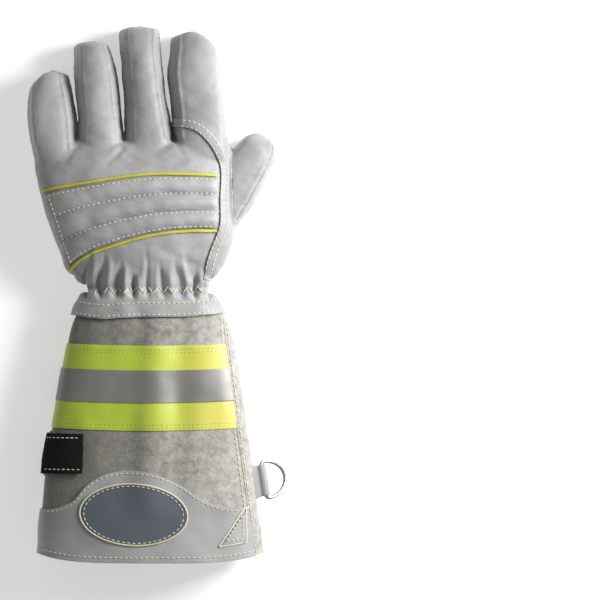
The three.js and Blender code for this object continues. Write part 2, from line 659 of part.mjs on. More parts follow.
// The region of the thumb's back leather, above a seam that is high on its outer side.
function thumbBackRegion(grow) {
  const first = THUMB_SECTIONS[0];
  const last = THUMB_SECTIONS[THUMB_SECTIONS.length - 1];
  const foot = new THREE.Vector2(first.x * PALM_BREADTH, first.y * PALM_LENGTH);
  const head = new THREE.Vector2(last.x * PALM_BREADTH, last.y * PALM_LENGTH);
  const ahead = head.clone().sub(foot).normalize();
  const ends = [foot.addScaledVector(ahead, -BEYOND), head.addScaledVector(ahead, BEYOND)];
  const corner = (end, aside, z) => new THREE.Vector3(end.x + ahead.y * aside, end.y - ahead.x * aside, z);
  return loft(
    ends.map((end) => [
      corner(end, -BEYOND, THUMB_SEAM_IN * THUMB_DEPTH - THUMB_SEAM_SLOPE * BEYOND - grow),
      corner(end, 0, THUMB_SEAM_IN * THUMB_DEPTH - grow),
      corner(end, BEYOND, THUMB_SEAM_IN * THUMB_DEPTH + THUMB_SEAM_SLOPE * BEYOND - grow),
      corner(end, BEYOND, 3 * BEYOND),
      corner(end, -BEYOND, 3 * BEYOND),
    ]),
  );
}

const PAIRS = [
  [FINGERS[0], FINGERS[1]],
  [FINGERS[1], FINGERS[2]],
  [FINGERS[2], FINGERS[3]],
];
const wallsGrown = PAIRS.map(([a, b]) => wallRegion(a, b, GAP)).reduce((all, one) => all.add(one));
const frontLeather = handShell.subtract(backRegion(GAP)).subtract(wallsGrown);

// The largest body of a solid, without the crumbs that a cut may leave.
function whole(solid) {
  return solid.decompose().reduce((best, one) => (one.volume() > best.volume() ? one : best));
}

function backLeather() {
  const back = handShell.intersect(backRegion(0)).subtract(wallsGrown);
  return meshOf("back_leather", whole(rested(back)), GRAIN_LEATHER);
}

function palmLeather() {
  const rest = [0, 1, 2].reduce(
    (leather, index) => leather.subtract(frontRegion(index, GAP)),
    frontLeather,
  );
  return meshOf("palm_leather", whole(rested(rest)), GRAIN_LEATHER);
}

function fingerFronts() {
  return [0, 1, 2].map((index) => {
    const front = rested(frontLeather.intersect(frontRegion(index, 0)));
    return meshOf(`finger_front_${FINGERS[index].name}`, whole(front), GRAIN_LEATHER);
  });
}

function fingerWalls() {
  return PAIRS.map(([a, b]) => {
    const wall = whole(handShell.intersect(wallRegion(a, b, 0)));
    return meshOf(`finger_wall_${a.name}_${b.name}`, wall, GRAIN_LEATHER);
  });
}

function thumb() {
  const tube = rested(thumbSolid(0).subtract(thumbInner).subtract(handForm(-1.5 * GAP)));
  return [
    meshOf("thumb_back", whole(tube.intersect(thumbBackRegion(0))), GRAIN_LEATHER),
    meshOf("thumb_palm", whole(tube.subtract(thumbBackRegion(GAP))), GRAIN_LEATHER),
  ];
}

// The quilted pad over the knuckles, with a swelling channel between each two stitched lines.
const padCurve = (x, y) =>
  new THREE.SplineCurve(
    PAD_EDGES.map((row) => new THREE.Vector2(row[x] * PALM_BREADTH, row[y] * PALM_LENGTH)),
  );
const padLow = padCurve("lowX", "lowY");
const padHigh = padCurve("highX", "highY");
function knucklePad() {
  const steps = PAD_CHANNELS * CHANNEL_STEPS;
  const rings = PAD_EDGES.map((_, row) => {
    const low = padLow.getPoint(row / (PAD_EDGES.length - 1));
    const high = padHigh.getPoint(row / (PAD_EDGES.length - 1));
    const top = Array.from({ length: steps + 1 }, (_, i) => {
      const swell = Math.abs(Math.sin((i / CHANNEL_STEPS) * Math.PI)) ** PAD_ROUND;
      const at = low.clone().lerp(high, i / steps);
      return backPoint(at.x, at.y, GAP + PAD_THICK + PAD_RISE * swell);
    });
    const under = [high, low].map((at) => {
      const p = backPoint(at.x, at.y, 0);
      return new THREE.Vector3(p.x + (at.x < 0 ? LEATHER : -LEATHER), p.y, p.z - 2 * LEATHER);
    });
    return [...top, ...under];
  });
  const cords = pipingSolid(padHigh, 1.5 * GAP).add(pipingSolid(padLow, 1.5 * GAP));
  const pad = loft(rings).subtract(handGrown).subtract(cords).subtract(weltPrism(GAP));
  return meshOf("knuckle_pad", whole(pad), GRAIN_LEATHER);
}

// A cord along a row of points. past: how far its ends run on.
function cordSolid(points, radius, past = 0, sides = 6) {
  const curve = new THREE.CatmullRomCurve3(points);
  const steps = points.length - 1;
  const frames = curve.computeFrenetFrames(steps, false);
  const rings = Array.from({ length: steps + 1 }, (_, i) => {
    const at = curve.getPointAt(i / steps);
    return Array.from({ length: sides }, (_, k) => {
      const turn = (k / sides) * 2 * Math.PI;
      return at
        .clone()
        .addScaledVector(frames.normals[i], radius * Math.cos(turn))
        .addScaledVector(frames.binormals[i], radius * Math.sin(turn));
    });
  });
  const moved = (ring, tangent, by) => ring.map((p) => p.clone().addScaledVector(tangent, by));
  if (past) {
    rings.unshift(moved(rings[0], frames.tangents[0], -past));
    rings.push(moved(rings[steps + 1], frames.tangents[steps], past));
  }
  return loft(rings);
}
function pipingSolid(edge, grow) {
  const points = edge.getPoints(CORD_STEPS).map((at) => backPoint(at.x, at.y, GAP + PIPING_RADIUS));
  return cordSolid(points, PIPING_RADIUS + grow, 4 * grow);
}
function piping(name, edge) {
  const cord = pipingSolid(edge, 0).subtract(handGrown).subtract(weltPrism(GAP));
  return meshOf(name, whole(cord), PIPING);
}

function indexWelt() {
  const layer = handForm(-(GAP + WELT_THICK)).subtract(handGrown);
  const clear = thumbSolid(-GAP);
  return meshOf("index_welt", whole(layer.intersect(weltPrism(0)).subtract(clear)), GRAIN_LEATHER);
}

// The cuff's shell, its seam line by the thumb side, and the layers that are sewn on it.
const cuffShell = rested(cuffSolid(0).subtract(cuffSolid(SUEDE, 5)));
const seamX = (along) => TAPE_END * HEM_BREADTH + SEAM_SPREAD * along;
function cuffBackRegion(grow) {
  const outline = outlineOf([
    { x: -3 * BEYOND, y: cuffY(1) - BEYOND },
    { x: seamX(1.1) + grow, y: cuffY(1.1) - BEYOND },
    { x: seamX(1.1) + grow, y: cuffY(1.1) },
    { x: seamX(0) + grow, y: BEYOND },
    { x: -3 * BEYOND, y: BEYOND },
  ]);
  return prism(outline, CUFF_SEAM * HEM_DEPTH - grow);
}
const cuffLayer = (from, thick) => cuffSolid(-(from + thick)).subtract(cuffSolid(-from));
const lowerHalf = block(-3 * BEYOND, 3 * BEYOND, -5 * BEYOND, BEYOND, -BEYOND, CUFF_SEAM * HEM_DEPTH);

function cuff() {
  return [
    meshOf("cuff_back", whole(cuffShell.intersect(cuffBackRegion(0))), SUEDE_LEATHER),
    meshOf("cuff_palm", whole(cuffShell.subtract(cuffBackRegion(GAP))), SUEDE_LEATHER),
  ];
}

// The tape round the back, turned a little way under at the pinky's side.
function tape() {
  const edge = { x: -TAPE_UNDER * HEM_BREADTH, back: 3 * BEYOND };
  const cut = (from, to) => {
    const [high, low] = [cuffY(TAPE_TOP) - from, cuffY(TAPE_TOP) - to];
    const under = block(-edge.back, edge.x, low, high);
    return cuffBackRegion(-GAP).intersect(block(-edge.back, edge.back, low, high)).add(under);
  };
  const side = (TAPE_WIDTH - SILVER_WIDTH) / 2;
  const yellow = cuffLayer(GAP, TAPE_THICK).intersect(cut(0, TAPE_WIDTH));
  const silver = cuffLayer(2 * GAP + TAPE_THICK, SILVER_THICK).intersect(cut(side, side + SILVER_WIDTH));
  return [
    meshOf("tape_yellow", whole(yellow), FLUORESCENT),
    meshOf("tape_silver", whole(silver), SILVER),
  ];
}

// The leather panel along the hem, and what is sewn on it.
function hemOutline() {
  const edge = new THREE.SplineCurve(
    HEM_EDGE.map((p) => new THREE.Vector2(p.x * HEM_BREADTH, cuffY(1) + p.rise * HEM_PANEL_HEIGHT)),
  );
  const line = edge.getPoints(HEM_STEPS);
  const from = line[0];
  const to = line[line.length - 1];
  const [left, right] = [CUFF_SECTIONS.at(-1).left * HEM_BREADTH, CUFF_SECTIONS.at(-1).right * HEM_BREADTH];
  const foot = Array.from({ length: HEM_FOOT_STEPS + 1 }, (_, i) => {
    const from = 1 - (2 * i) / HEM_FOOT_STEPS;
    const x = (left + right) / 2 + ((right - left) / 2) * from;
    return { x, y: cuffY(1) + HEM_ROLL + hemBow(from, 1) };
  });
  return outlineOf([...line, { x: to.x, y: foot[0].y }, ...foot, { x: from.x, y: foot.at(-1).y }]);
}
function hemPanel() {
  const layer = cuffLayer(GAP, HEM_PANEL_THICK)
    .intersect(prism(hemOutline()))
    .intersect(cuffBackRegion(-GAP));
  return meshOf("hem_panel", whole(layer), GRAIN_LEATHER);
}
const overHem = 2 * GAP + HEM_PANEL_THICK;
function ovalPatch() {
  const outline = new THREE.Shape();
  const at = { x: HUMP_CENTRE * HEM_BREADTH, y: cuffY(1) + OVAL_RISE };
  outline.absellipse(at.x, at.y, OVAL_LENGTH / 2, OVAL_WIDTH / 2, 0, 2 * Math.PI);
  const layer = cuffLayer(overHem, OVAL_THICK).intersect(prism(outline, CUFF_SEAM * HEM_DEPTH));
  return meshOf("oval_patch", whole(layer), LABEL);
}
function cornerPatch() {
  const x = seamX(0.9) - GAP;
  const y = cuffY(1) + CORNER_RISE;
  const outline = outlineOf([
    { x, y },
    { x, y: y + CORNER_HEIGHT },
    { x: x - CORNER_LEG, y: y - CORNER_SLANT },
  ]);
  const layer = cuffLayer(overHem, HEM_PANEL_THICK).intersect(prism(outline, CUFF_SEAM * HEM_DEPTH));
  return meshOf("corner_patch", whole(layer), GRAIN_LEATHER);
}

// The round guard below the wrist, on the palm side.
function palmGuard() {
  const outline = new THREE.Shape();
  outline.absellipse(0, -LAP - GAP, GUARD_RADIUS, GUARD_DROP, Math.PI, 2 * Math.PI);
  const layer = cuffLayer(GAP, GUARD_THICK).intersect(prism(outline)).intersect(lowerHalf);
  return meshOf("palm_guard", whole(layer), GRAIN_LEATHER);
}

// The strap: a leather backing and a loop band round the pinky's side, and the tab that closes on it.
function strap() {
  const strip = (end, width) =>
    block(-3 * BEYOND, end * HEM_BREADTH, cuffY(STRAP_Y) - width / 2, cuffY(STRAP_Y) + width / 2);
  const backing = cuffLayer(GAP, BACKING_THICK)
    .intersect(strip(BACKING_END, BACKING_WIDTH))
    .intersect(lowerHalf);
  const run = strip(LOOP_END, LOOP_WIDTH).add(strip(LOOP_RUN, LOOP_WIDTH).intersect(lowerHalf));
  const loop = cuffLayer(2 * GAP + BACKING_THICK, LOOP_THICK).intersect(run);
  return [
    meshOf("strap_backing", whole(backing), GRAIN_LEATHER),
    meshOf("loop_band", whole(loop), HOOK_LOOP),
  ];
}
function loopPatch() {
  const outline = block(-3 * BEYOND, PATCH_END * HEM_BREADTH, cuffY(PATCH_LOW), cuffY(PATCH_HIGH));
  const from = 3 * GAP + TAPE_THICK + SILVER_THICK;
  const layer = cuffLayer(from, LOOP_THICK).intersect(outline).intersect(lowerHalf);
  return meshOf("loop_patch", whole(layer), HOOK_LOOP);
}
function closureTab() {
  const place = (row, off) => ({ x: row.x * HEM_BREADTH, y: cuffY(STRAP_Y) + off * TAB_WIDTH });
  const outline = outlineOf([
    ...TAB_OUTLINE.map((row) => place(row, -row.below)),
    ...[...TAB_OUTLINE].reverse().map((row) => place(row, row.above)),
  ]);
  return meshOf("closure_tab", prism(outline, 0, TAB_THICK), GRAIN_LEATHER);
}

// The D-ring, in its own frame: the bar along Y through the origin, the D towards +X.
function ringSolid() {
  const points = [];
  const straight = RING_HALF - RING_CORNER;
  [-1, 0, 1].forEach((k) => points.push({ x: 0, y: k * straight }));
  points.push({ x: RING_CORNER * 0.7, y: RING_HALF - RING_CORNER * 0.2 });
  for (let i = 1; i < RING_ARCS; i++) {
    const turn = Math.PI / 2 - (i / RING_ARCS) * Math.PI;
    const x = RING_CORNER + (RING_DEPTH - RING_CORNER) * Math.cos(turn);
    points.push({ x, y: RING_HALF * Math.sin(turn) });
  }
  points.push({ x: RING_CORNER * 0.7, y: -(RING_HALF - RING_CORNER * 0.2) });
  const rings = points.map((p, i) => {
    const before = points[(i + points.length - 1) % points.length];
    const after = points[(i + 1) % points.length];
    const ahead = new THREE.Vector2(after.x - before.x, after.y - before.y).normalize();
    return Array.from({ length: WIRE_SIDES }, (_, k) => {
      const turn = (k / WIRE_SIDES) * 2 * Math.PI;
      const aside = RING_WIRE * Math.cos(turn);
      return new THREE.Vector3(p.x + ahead.y * aside, p.y - ahead.x * aside, RING_WIRE * Math.sin(turn));
    });
  });
  return loft(rings, true);
}

// The leather that is folded round the bar and sewn to the cuff's side.
function ringLoopSolid() {
  const outer = RING_WIRE + LOOP_CLEAR + LOOP_LEATHER;
  const hole = RING_WIRE + LOOP_CLEAR;
  const shape = new THREE.Shape();
  const open = Math.asin(LOOP_LEATHER / outer);
  shape.absarc(0, 0, outer, -Math.PI + open, Math.PI - open);
  shape.lineTo(-LOOP_REACH, LOOP_RISE + LOOP_LEATHER);
  shape.lineTo(-LOOP_REACH, LOOP_RISE - LOOP_LEATHER);
  const eye = new THREE.Path();
  eye.absarc(0, 0, hole, 0, 2 * Math.PI);
  shape.holes.push(eye);
  const depth = TAB_LOOP_WIDTH;
  const geometry = new THREE.ExtrudeGeometry(shape, { depth, bevelEnabled: false, curveSegments: 14 });
  geometry.translate(0, 0, -TAB_LOOP_WIDTH / 2);
  geometry.rotateX(Math.PI / 2);
  return solidOf(geometry);
}

// The ring and its loop are set at the cuff's side by the thumb.
function ringAndLoop() {
  const row = { y: RING_ALONG };
  const side = between(CUFF_SECTIONS, "along", row.y, "right") * HEM_BREADTH;
  const at = [side + RING_OUT, cuffY(RING_ALONG), RING_HEIGHT];
  const ring = ringSolid().rotate([0, RING_TILT, 0]).rotate([0, 0, RING_TURN]).translate(at);
  const loop = ringLoopSolid().rotate([0, 0, RING_TURN]).translate(at).subtract(cuffGrown);
  return [meshOf("ring_loop", whole(loop), GRAIN_LEATHER), meshOf("d_ring", ring, STEEL)];
}

const glove = new THREE.Group();
glove.add(backLeather(), palmLeather(), ...fingerFronts(), ...fingerWalls(), ...thumb());
glove.add(knucklePad(), piping("piping_upper", padHigh), piping("piping_lower", padLow), indexWelt());
glove.add(...cuff(), ...tape(), hemPanel(), ovalPatch(), cornerPatch());
glove.add(palmGuard(), ...strap(), loopPatch(), closureTab(), ...ringAndLoop());

// The origin is under the middle of the whole glove.
const extent = new THREE.Box3().setFromObject(glove);
glove.position.set(-(extent.min.x + extent.max.x) / 2, -(extent.min.y + extent.max.y) / 2, -extent.min.z);

export default glove;
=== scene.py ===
"""The looks of a firefighter's glove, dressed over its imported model.

Lengths are millimetres where nothing else is said.
"""

import json
import math

import bmesh
import bpy
import numpy as np
from mathutils import Matrix, Vector, kdtree, noise
from mathutils.bvhtree import BVHTree


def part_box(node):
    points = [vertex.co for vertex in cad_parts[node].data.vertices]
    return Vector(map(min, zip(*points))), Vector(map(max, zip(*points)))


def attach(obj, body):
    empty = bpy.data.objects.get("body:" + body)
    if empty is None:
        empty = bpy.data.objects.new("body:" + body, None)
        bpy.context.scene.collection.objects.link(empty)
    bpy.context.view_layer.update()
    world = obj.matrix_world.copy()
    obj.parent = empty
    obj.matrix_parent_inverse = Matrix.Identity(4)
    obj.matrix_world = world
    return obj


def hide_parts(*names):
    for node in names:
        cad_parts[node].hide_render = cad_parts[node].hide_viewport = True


bl_info = {
    "name": "Gauntlet glove",
    "version": (1, 0, 0),
    "blender": (4, 5, 0),
    "location": "3D View > Sidebar > Glove",
    "description": "Dresses the packed glove in leather, suede, tape and thread",
    "category": "Object",
}

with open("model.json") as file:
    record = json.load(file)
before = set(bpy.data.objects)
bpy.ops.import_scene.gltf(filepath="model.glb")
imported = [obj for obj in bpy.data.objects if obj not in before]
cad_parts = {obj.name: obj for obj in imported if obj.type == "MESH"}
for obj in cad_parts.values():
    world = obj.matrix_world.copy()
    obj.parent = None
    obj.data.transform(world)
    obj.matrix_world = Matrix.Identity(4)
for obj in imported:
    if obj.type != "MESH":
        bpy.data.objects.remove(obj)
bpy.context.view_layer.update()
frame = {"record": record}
MM = 0.001

# The glove is worked out about the middle of the wrist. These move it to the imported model's frame.
TOP_OF_CUFF = -8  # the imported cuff's upper edge, from the wrist line
TAB_TIP = -25.232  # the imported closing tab's free end, from the wrist's middle
SHIFT = Vector((
    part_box("closure_tab")[0][0] / MM - TAB_TIP,
    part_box("cuff_back")[1][1] / MM - TOP_OF_CUFF,
    0,
))

# Sections of the hand from below the wrist to the crotches,
# as shares of the palm's length, breadth and depth.
# Below the wrist line, along is a share of the leather's lap over the cuff.
HAND_SECTIONS = [
    {"along": -1.0, "left": -0.404, "right": 0.412, "low": 0.045, "high": 0.965},
    {"along": -0.72, "left": -0.394, "right": 0.402, "low": 0.045, "high": 0.955},
    {"along": -0.42, "left": -0.37, "right": 0.373, "low": 0.045, "high": 0.93},
    {"along": -0.2, "left": -0.35, "right": 0.345, "low": 0.045, "high": 0.905},
    {"along": 0.0, "left": -0.328, "right": 0.33, "low": 0.05, "high": 0.87},
    {"along": 0.06, "left": -0.385, "right": 0.345, "low": 0.03, "high": 0.9},
    {"along": 0.13, "left": -0.437, "right": 0.39, "low": 0.0, "high": 0.95},
    {"along": 0.24, "left": -0.465, "right": 0.428, "low": -0.01, "high": 1.0},
    {"along": 0.38, "left": -0.505, "right": 0.448, "low": -0.01, "high": 1.02},
    {"along": 0.55, "left": -0.547, "right": 0.447, "low": -0.01, "high": 1.03},
    {"along": 0.73, "left": -0.58, "right": 0.441, "low": 0.0, "high": 1.02},
    {"along": 0.88, "left": -0.6, "right": 0.438, "low": 0.04, "high": 0.95},
    {"along": 0.98, "left": -0.605, "right": 0.434, "low": 0.12, "high": 0.84},
    {"along": 1.03, "left": -0.58, "right": 0.41, "low": 0.28, "high": 0.68},
]
LAP = 20
RESTS = 0.42  # how far above the floor the leather starts, which leaves room for the stitches

# The fingers. root, tip, bow, width: shares of the palm's breadth. reach: share of the hand's length.
FINGERS = [
    {"name": "pinky", "root": -0.474, "tip": -0.5, "bow": -0.018, "reach": 0.836, "width": 0.25},
    {"name": "ring", "root": -0.238, "tip": -0.283, "bow": 0.012, "reach": 0.948, "width": 0.232},
    {"name": "middle", "root": 0.029, "tip": -0.045, "bow": 0.0, "reach": 1.008, "width": 0.24},
    {"name": "index", "root": 0.308, "tip": 0.236, "bow": -0.012, "reach": 0.992, "width": 0.272},
]

# How far each finger's corners drop at its tip, how much of its half width each side wall takes,
# and how high the seam along each side stands
FINGER_SIDES = {
    "pinky": {"drops": (9.5, 2.5), "walls": (0.22, 0.34), "seams": (0.25, 0.6)},
    "ring": {"drops": (0.8, 0.8), "walls": (0.42, 0.26), "seams": (0.2, 0.4)},
    "middle": {"drops": (1.2, 0.4), "walls": (0.44, 0.28), "seams": (0.2, 0.6)},
    "index": {"drops": (3.5, 11.0), "walls": (0.4, 0.14), "seams": (0.5, 0.1)},
}
FINGER_ROOT = 0.82
FINGER_DEPTH = 30
FINGER_SECTIONS = [
    {"along": 0.0, "wide": 0.82, "low": 0.16, "high": 1.1},
    {"along": 0.1, "wide": 0.9, "low": 0.165, "high": 1.26},
    {"along": 0.2, "wide": 0.96, "low": 0.17, "high": 1.29},
    {"along": 0.42, "wide": 1.0, "low": 0.17, "high": 1.23},
    {"along": 0.62, "wide": 1.0, "low": 0.13, "high": 1.17},
    {"along": 0.78, "wide": 1.0, "low": 0.06, "high": 1.08},
    {"along": 0.89, "wide": 1.0, "low": 0.0, "high": 0.98},
    {"along": 0.965, "wide": 0.94, "low": 0.01, "high": 0.84},
    {"along": 1.0, "wide": 0.78, "low": 0.1, "high": 0.66},
]
THUMB_WALLS = (0.24, 0.24)
PANEL_DROP = 0.16  # how much lower the panel's edges are than its crown

# The slits between the fingers. x, y: places along a slit. gap: half its width there.
FINGER_SLITS = [
    [
        {"y": 91.0, "x": -47.5, "gap": -0.9},
        {"y": 106.0, "x": -47.5, "gap": -0.5},
        {"y": 114.4, "x": -47.6, "gap": 0.2},
        {"y": 119.1, "x": -48.3, "gap": 0.45},
        {"y": 132.6, "x": -50.3, "gap": 0.9},
        {"y": 153.0, "x": -53.0, "gap": 2.0},
    ],
    [
        {"y": 89.0, "x": -17.2, "gap": -0.9},
        {"y": 103.0, "x": -16.2, "gap": -0.5},
        {"y": 112.4, "x": -16.9, "gap": 0.4},
        {"y": 125.8, "x": -17.6, "gap": 1.2},
        {"y": 139.3, "x": -19.0, "gap": 1.2},
        {"y": 152.8, "x": -21.0, "gap": 2.1},
        {"y": 164.0, "x": -23.6, "gap": 3.2},
    ],
    [
        {"y": 95.0, "x": 17.6, "gap": -0.9},
        {"y": 103.5, "x": 16.4, "gap": -0.5},
        {"y": 112.4, "x": 15.6, "gap": 0.8},
        {"y": 125.8, "x": 13.5, "gap": 1.3},
        {"y": 146.0, "x": 11.3, "gap": 1.5},
        {"y": 159.5, "x": 11.3, "gap": 3.0},
    ],
]
SPREAD = 4.5  # how much farther apart the fingers stand while their skin is made
SPREAD_FROM = 94.0
SPREAD_TO = 108.0

# Creases in the hand's back: from and to, depth and half width
CREASES = [
    {"x0": -47.6, "y0": 94, "x1": -56.0, "y1": 83, "deep": 1.3, "wide": 2.3},
    {"x0": -47.6, "y0": 94, "x1": -38.0, "y1": 85, "deep": 1.1, "wide": 2.6},
    {"x0": -17.2, "y0": 92, "x1": -27.0, "y1": 83, "deep": 1.5, "wide": 2.4},
    {"x0": -17.2, "y0": 92, "x1": -6.0, "y1": 84, "deep": 1.1, "wide": 2.6},
    {"x0": 17.8, "y0": 99, "x1": 25.0, "y1": 86, "deep": 1.4, "wide": 2.2},
    {"x0": 17.8, "y0": 99, "x1": 5.0, "y1": 90, "deep": 1.1, "wide": 2.8},
    {"x0": -49.0, "y0": 91, "x1": -20.0, "y1": 89, "deep": 0.9, "wide": 3.4},
    {"x0": -14.0, "y0": 90, "x1": 14.0, "y1": 95, "deep": 0.8, "wide": 3.4},
    {"x0": 44.0, "y0": 36, "x1": 22.0, "y1": 24, "deep": 1.3, "wide": 3.4},
    {"x0": 32.0, "y0": 14, "x1": 8.0, "y1": 26, "deep": 1.0, "wide": 3.2},
    {"x0": -44.0, "y0": 13, "x1": -20.0, "y1": 20, "deep": 1.1, "wide": 3.0},
]

# Where the seam between the back and palm leathers runs, and the edges of the walls between the fingers:
# shares of the hand's length along, and of the palm's depth up
SIDE_SEAM = [
    {"along": -0.6, "z": 0.62},
    {"along": 0.0, "z": 0.62},
    {"along": 0.3, "z": 0.68},
    {"along": 0.55, "z": 0.62},
    {"along": 0.75, "z": 0.54},
    {"along": 0.9, "z": 0.42},
    {"along": 1.2, "z": 0.36},
]
WALL_EDGES = [
    {"along": 0.3, "low": 0.26, "high": 0.68},
    {"along": 0.62, "low": 0.26, "high": 0.68},
    {"along": 0.8, "low": 0.22, "high": 0.6},
    {"along": 1.2, "low": 0.18, "high": 0.42},
]
WALL_SHORT = 9  # how far below the shorter finger's tip a wall ends
FRONTS_FROM = 0.93  # share of the palm's length where the fingers' front leathers start

# The seams on the palm side: below the fingers, and round the thumb's root
PALM_SEAMS = [
    [(-70, 90), (-45, 91), (-18, 86), (2, 88), (14, 90.5), (40, 90)],
    [(56, 66), (44, 63), (31, 57), (24.6, 47.5), (20.5, 36), (17.8, 20.6), (17.2, 8)],
]
PALM_RIDGE = 0.65  # how high those seams stand
THUMB_GROOVE = -1.2  # how deep the thumb's seam lies
GATHER_PITCH = 10.4  # from one gather of the wrist to the next

# The lower edge of the hand's leather over the cuff
LAP_EDGE = [
    {"x": -60.0, "y": -18.4},
    {"x": -50.5, "y": -18.9},
    {"x": -38.0, "y": -20.8},
    {"x": -29.0, "y": -21.6},
    {"x": -18.0, "y": -20.7},
    {"x": -1.3, "y": -20.2},
    {"x": 23.0, "y": -20.1},
    {"x": 40.0, "y": -18.6},
    {"x": 60.0, "y": -17.0},
]
THUMB_WIDTH = 33
THUMB_DEPTH = 32
THUMB_SECTIONS = [
    {"along": 0.0, "x": 0.25, "y": 0.28, "wide": 0.86, "low": 0.12, "high": 0.86},
    {"along": 0.2, "x": 0.34, "y": 0.46, "wide": 0.96, "low": 0.05, "high": 0.96},
    {"along": 0.42, "x": 0.43, "y": 0.64, "wide": 1.0, "low": 0.02, "high": 1.0},
    {"along": 0.62, "x": 0.505, "y": 0.8, "wide": 0.95, "low": 0.0, "high": 0.96},
    {"along": 0.8, "x": 0.56, "y": 0.915, "wide": 0.85, "low": 0.0, "high": 0.9},
    {"along": 0.93, "x": 0.6, "y": 0.995, "wide": 0.68, "low": 0.03, "high": 0.8},
    {"along": 1.0, "x": 0.628, "y": 1.045, "wide": 0.38, "low": 0.16, "high": 0.62},
]

# Sections of the cuff, as shares of its length and of the hem's breadth and depth
CUFF_SECTIONS = [
    {"along": 0.043, "left": -0.272, "right": 0.29, "low": 0.15, "high": 0.7},
    {"along": 0.117, "left": -0.328, "right": 0.342, "low": 0.115, "high": 0.765},
    {"along": 0.198, "left": -0.352, "right": 0.38, "low": 0.1, "high": 0.812},
    {"along": 0.3, "left": -0.38, "right": 0.405, "low": 0.105, "high": 0.845},
    {"along": 0.411, "left": -0.403, "right": 0.423, "low": 0.11, "high": 0.875},
    {"along": 0.506, "left": -0.423, "right": 0.438, "low": 0.112, "high": 0.895},
    {"along": 0.594, "left": -0.441, "right": 0.454, "low": 0.112, "high": 0.912},
    {"along": 0.655, "left": -0.45, "right": 0.462, "low": 0.112, "high": 0.925},
    {"along": 0.72, "left": -0.459, "right": 0.47, "low": 0.112, "high": 0.938},
    {"along": 0.81, "left": -0.468, "right": 0.484, "low": 0.04, "high": 0.955},
    {"along": 0.905, "left": -0.478, "right": 0.503, "low": 0.01, "high": 0.975},
    {"along": 1.0, "left": -0.487, "right": 0.512, "low": -0.005, "high": 1.0},
]
FLUTES = [
    {"across": -0.3, "rise": 4.5},
    {"across": -0.13, "rise": 6.8},
    {"across": 0.04, "rise": 8.1},
    {"across": 0.2, "rise": 9.0},
    {"across": 0.36, "rise": 7.2},
]
FLUTE_WIDE = 0.06
HEM_BOW = 6.0  # how much farther up the hem lies at the sides than in the middle
HEM_BOW_START = 0.72
FLUTE_START = 0.655
BACK_POWER = 2.5
PALM_POWER = 3.6
FINGER_POWER = 3.0

# The knuckle pad's edges, from the lower cord to the upper, as shares of the palm's breadth and length
PAD_EDGES = [
    {"low_x": -0.41, "low_y": 0.104, "high_x": -0.555, "high_y": 0.658},
    {"low_x": -0.376, "low_y": 0.159, "high_x": -0.51, "high_y": 0.674},
    {"low_x": -0.295, "low_y": 0.229, "high_x": -0.4, "high_y": 0.7},
    {"low_x": -0.195, "low_y": 0.277, "high_x": -0.274, "high_y": 0.728},
    {"low_x": -0.074, "low_y": 0.326, "high_x": -0.126, "high_y": 0.756},
    {"low_x": 0.06, "low_y": 0.364, "high_x": 0.026, "high_y": 0.777},
    {"low_x": 0.2, "low_y": 0.384, "high_x": 0.179, "high_y": 0.778},
    {"low_x": 0.368, "low_y": 0.389, "high_x": 0.368, "high_y": 0.771},
]
PAD_CHANNELS = 3

# The welt from the crotch of the middle and index fingers to the wrist,
# as shares of the palm's breadth and length
WELT_LINE = [
    {"x": 0.131, "y": 1.14},
    {"x": 0.258, "y": 1.107},
    {"x": 0.318, "y": 1.041},
    {"x": 0.392, "y": 0.88},
    {"x": 0.4, "y": 0.6},
    {"x": 0.397, "y": 0.416},
    {"x": 0.345, "y": 0.23},
    {"x": 0.305, "y": 0.048},
]
WELT_WIDTH = 6

# Where the hem panel's upper edge runs: a share of the hem's breadth, and the height above the hem
HEM_EDGE = [
    {"x": -0.62, "rise": 36.4},
    {"x": -0.375, "rise": 37.4},
    {"x": -0.316, "rise": 42.7},
    {"x": -0.274, "rise": 50.8},
    {"x": -0.215, "rise": 57.5},
    {"x": -0.128, "rise": 61.5},
    {"x": -0.02, "rise": 61.5},
    {"x": 0.066, "rise": 58.2},
    {"x": 0.151, "rise": 52.1},
    {"x": 0.235, "rise": 43.4},
    {"x": 0.292, "rise": 39.3},
    {"x": 0.62, "rise": 39.4},
]


class GloveSizes(bpy.types.PropertyGroup):
    """Driving sizes of the glove."""

    hand_length: bpy.props.FloatProperty(
        name="Hand", description="Wrist line to the middle fingertip", default=0.1752, unit="LENGTH")
    palm_length: bpy.props.FloatProperty(
        name="Palm", description="Wrist line to the crotches", default=0.097, unit="LENGTH")
    palm_breadth: bpy.props.FloatProperty(
        name="Breadth", description="Breadth across the knuckles", default=0.128, unit="LENGTH")
    palm_depth: bpy.props.FloatProperty(
        name="Depth", description="Depth of the hand's body", default=0.044, unit="LENGTH")
    cuff_length: bpy.props.FloatProperty(
        name="Cuff", description="Wrist line to the hem", default=0.185, unit="LENGTH")
    hem_breadth: bpy.props.FloatProperty(
        name="Hem", description="Breadth of the cuff's mouth", default=0.152, unit="LENGTH")
    hem_depth: bpy.props.FloatProperty(
        name="Mouth", description="Depth of the cuff's mouth", default=0.052, unit="LENGTH")
    leather: bpy.props.FloatProperty(
        name="Leather", description="Thickness of the hand's leather", default=0.0018, unit="LENGTH")
    fineness: bpy.props.FloatProperty(
        name="Fineness", description="Size of the hand's mesh faces", default=0.0011, unit="LENGTH")
    stitch: bpy.props.FloatProperty(
        name="Stitch", description="Length of one stitch", default=0.0025, unit="LENGTH")
    thread: bpy.props.FloatProperty(
        name="Thread", description="Radius of the thread", default=0.00044, unit="LENGTH")
    pucker: bpy.props.FloatProperty(
        name="Pucker", description="Height of the wrist's gathers", default=0.005, unit="LENGTH")


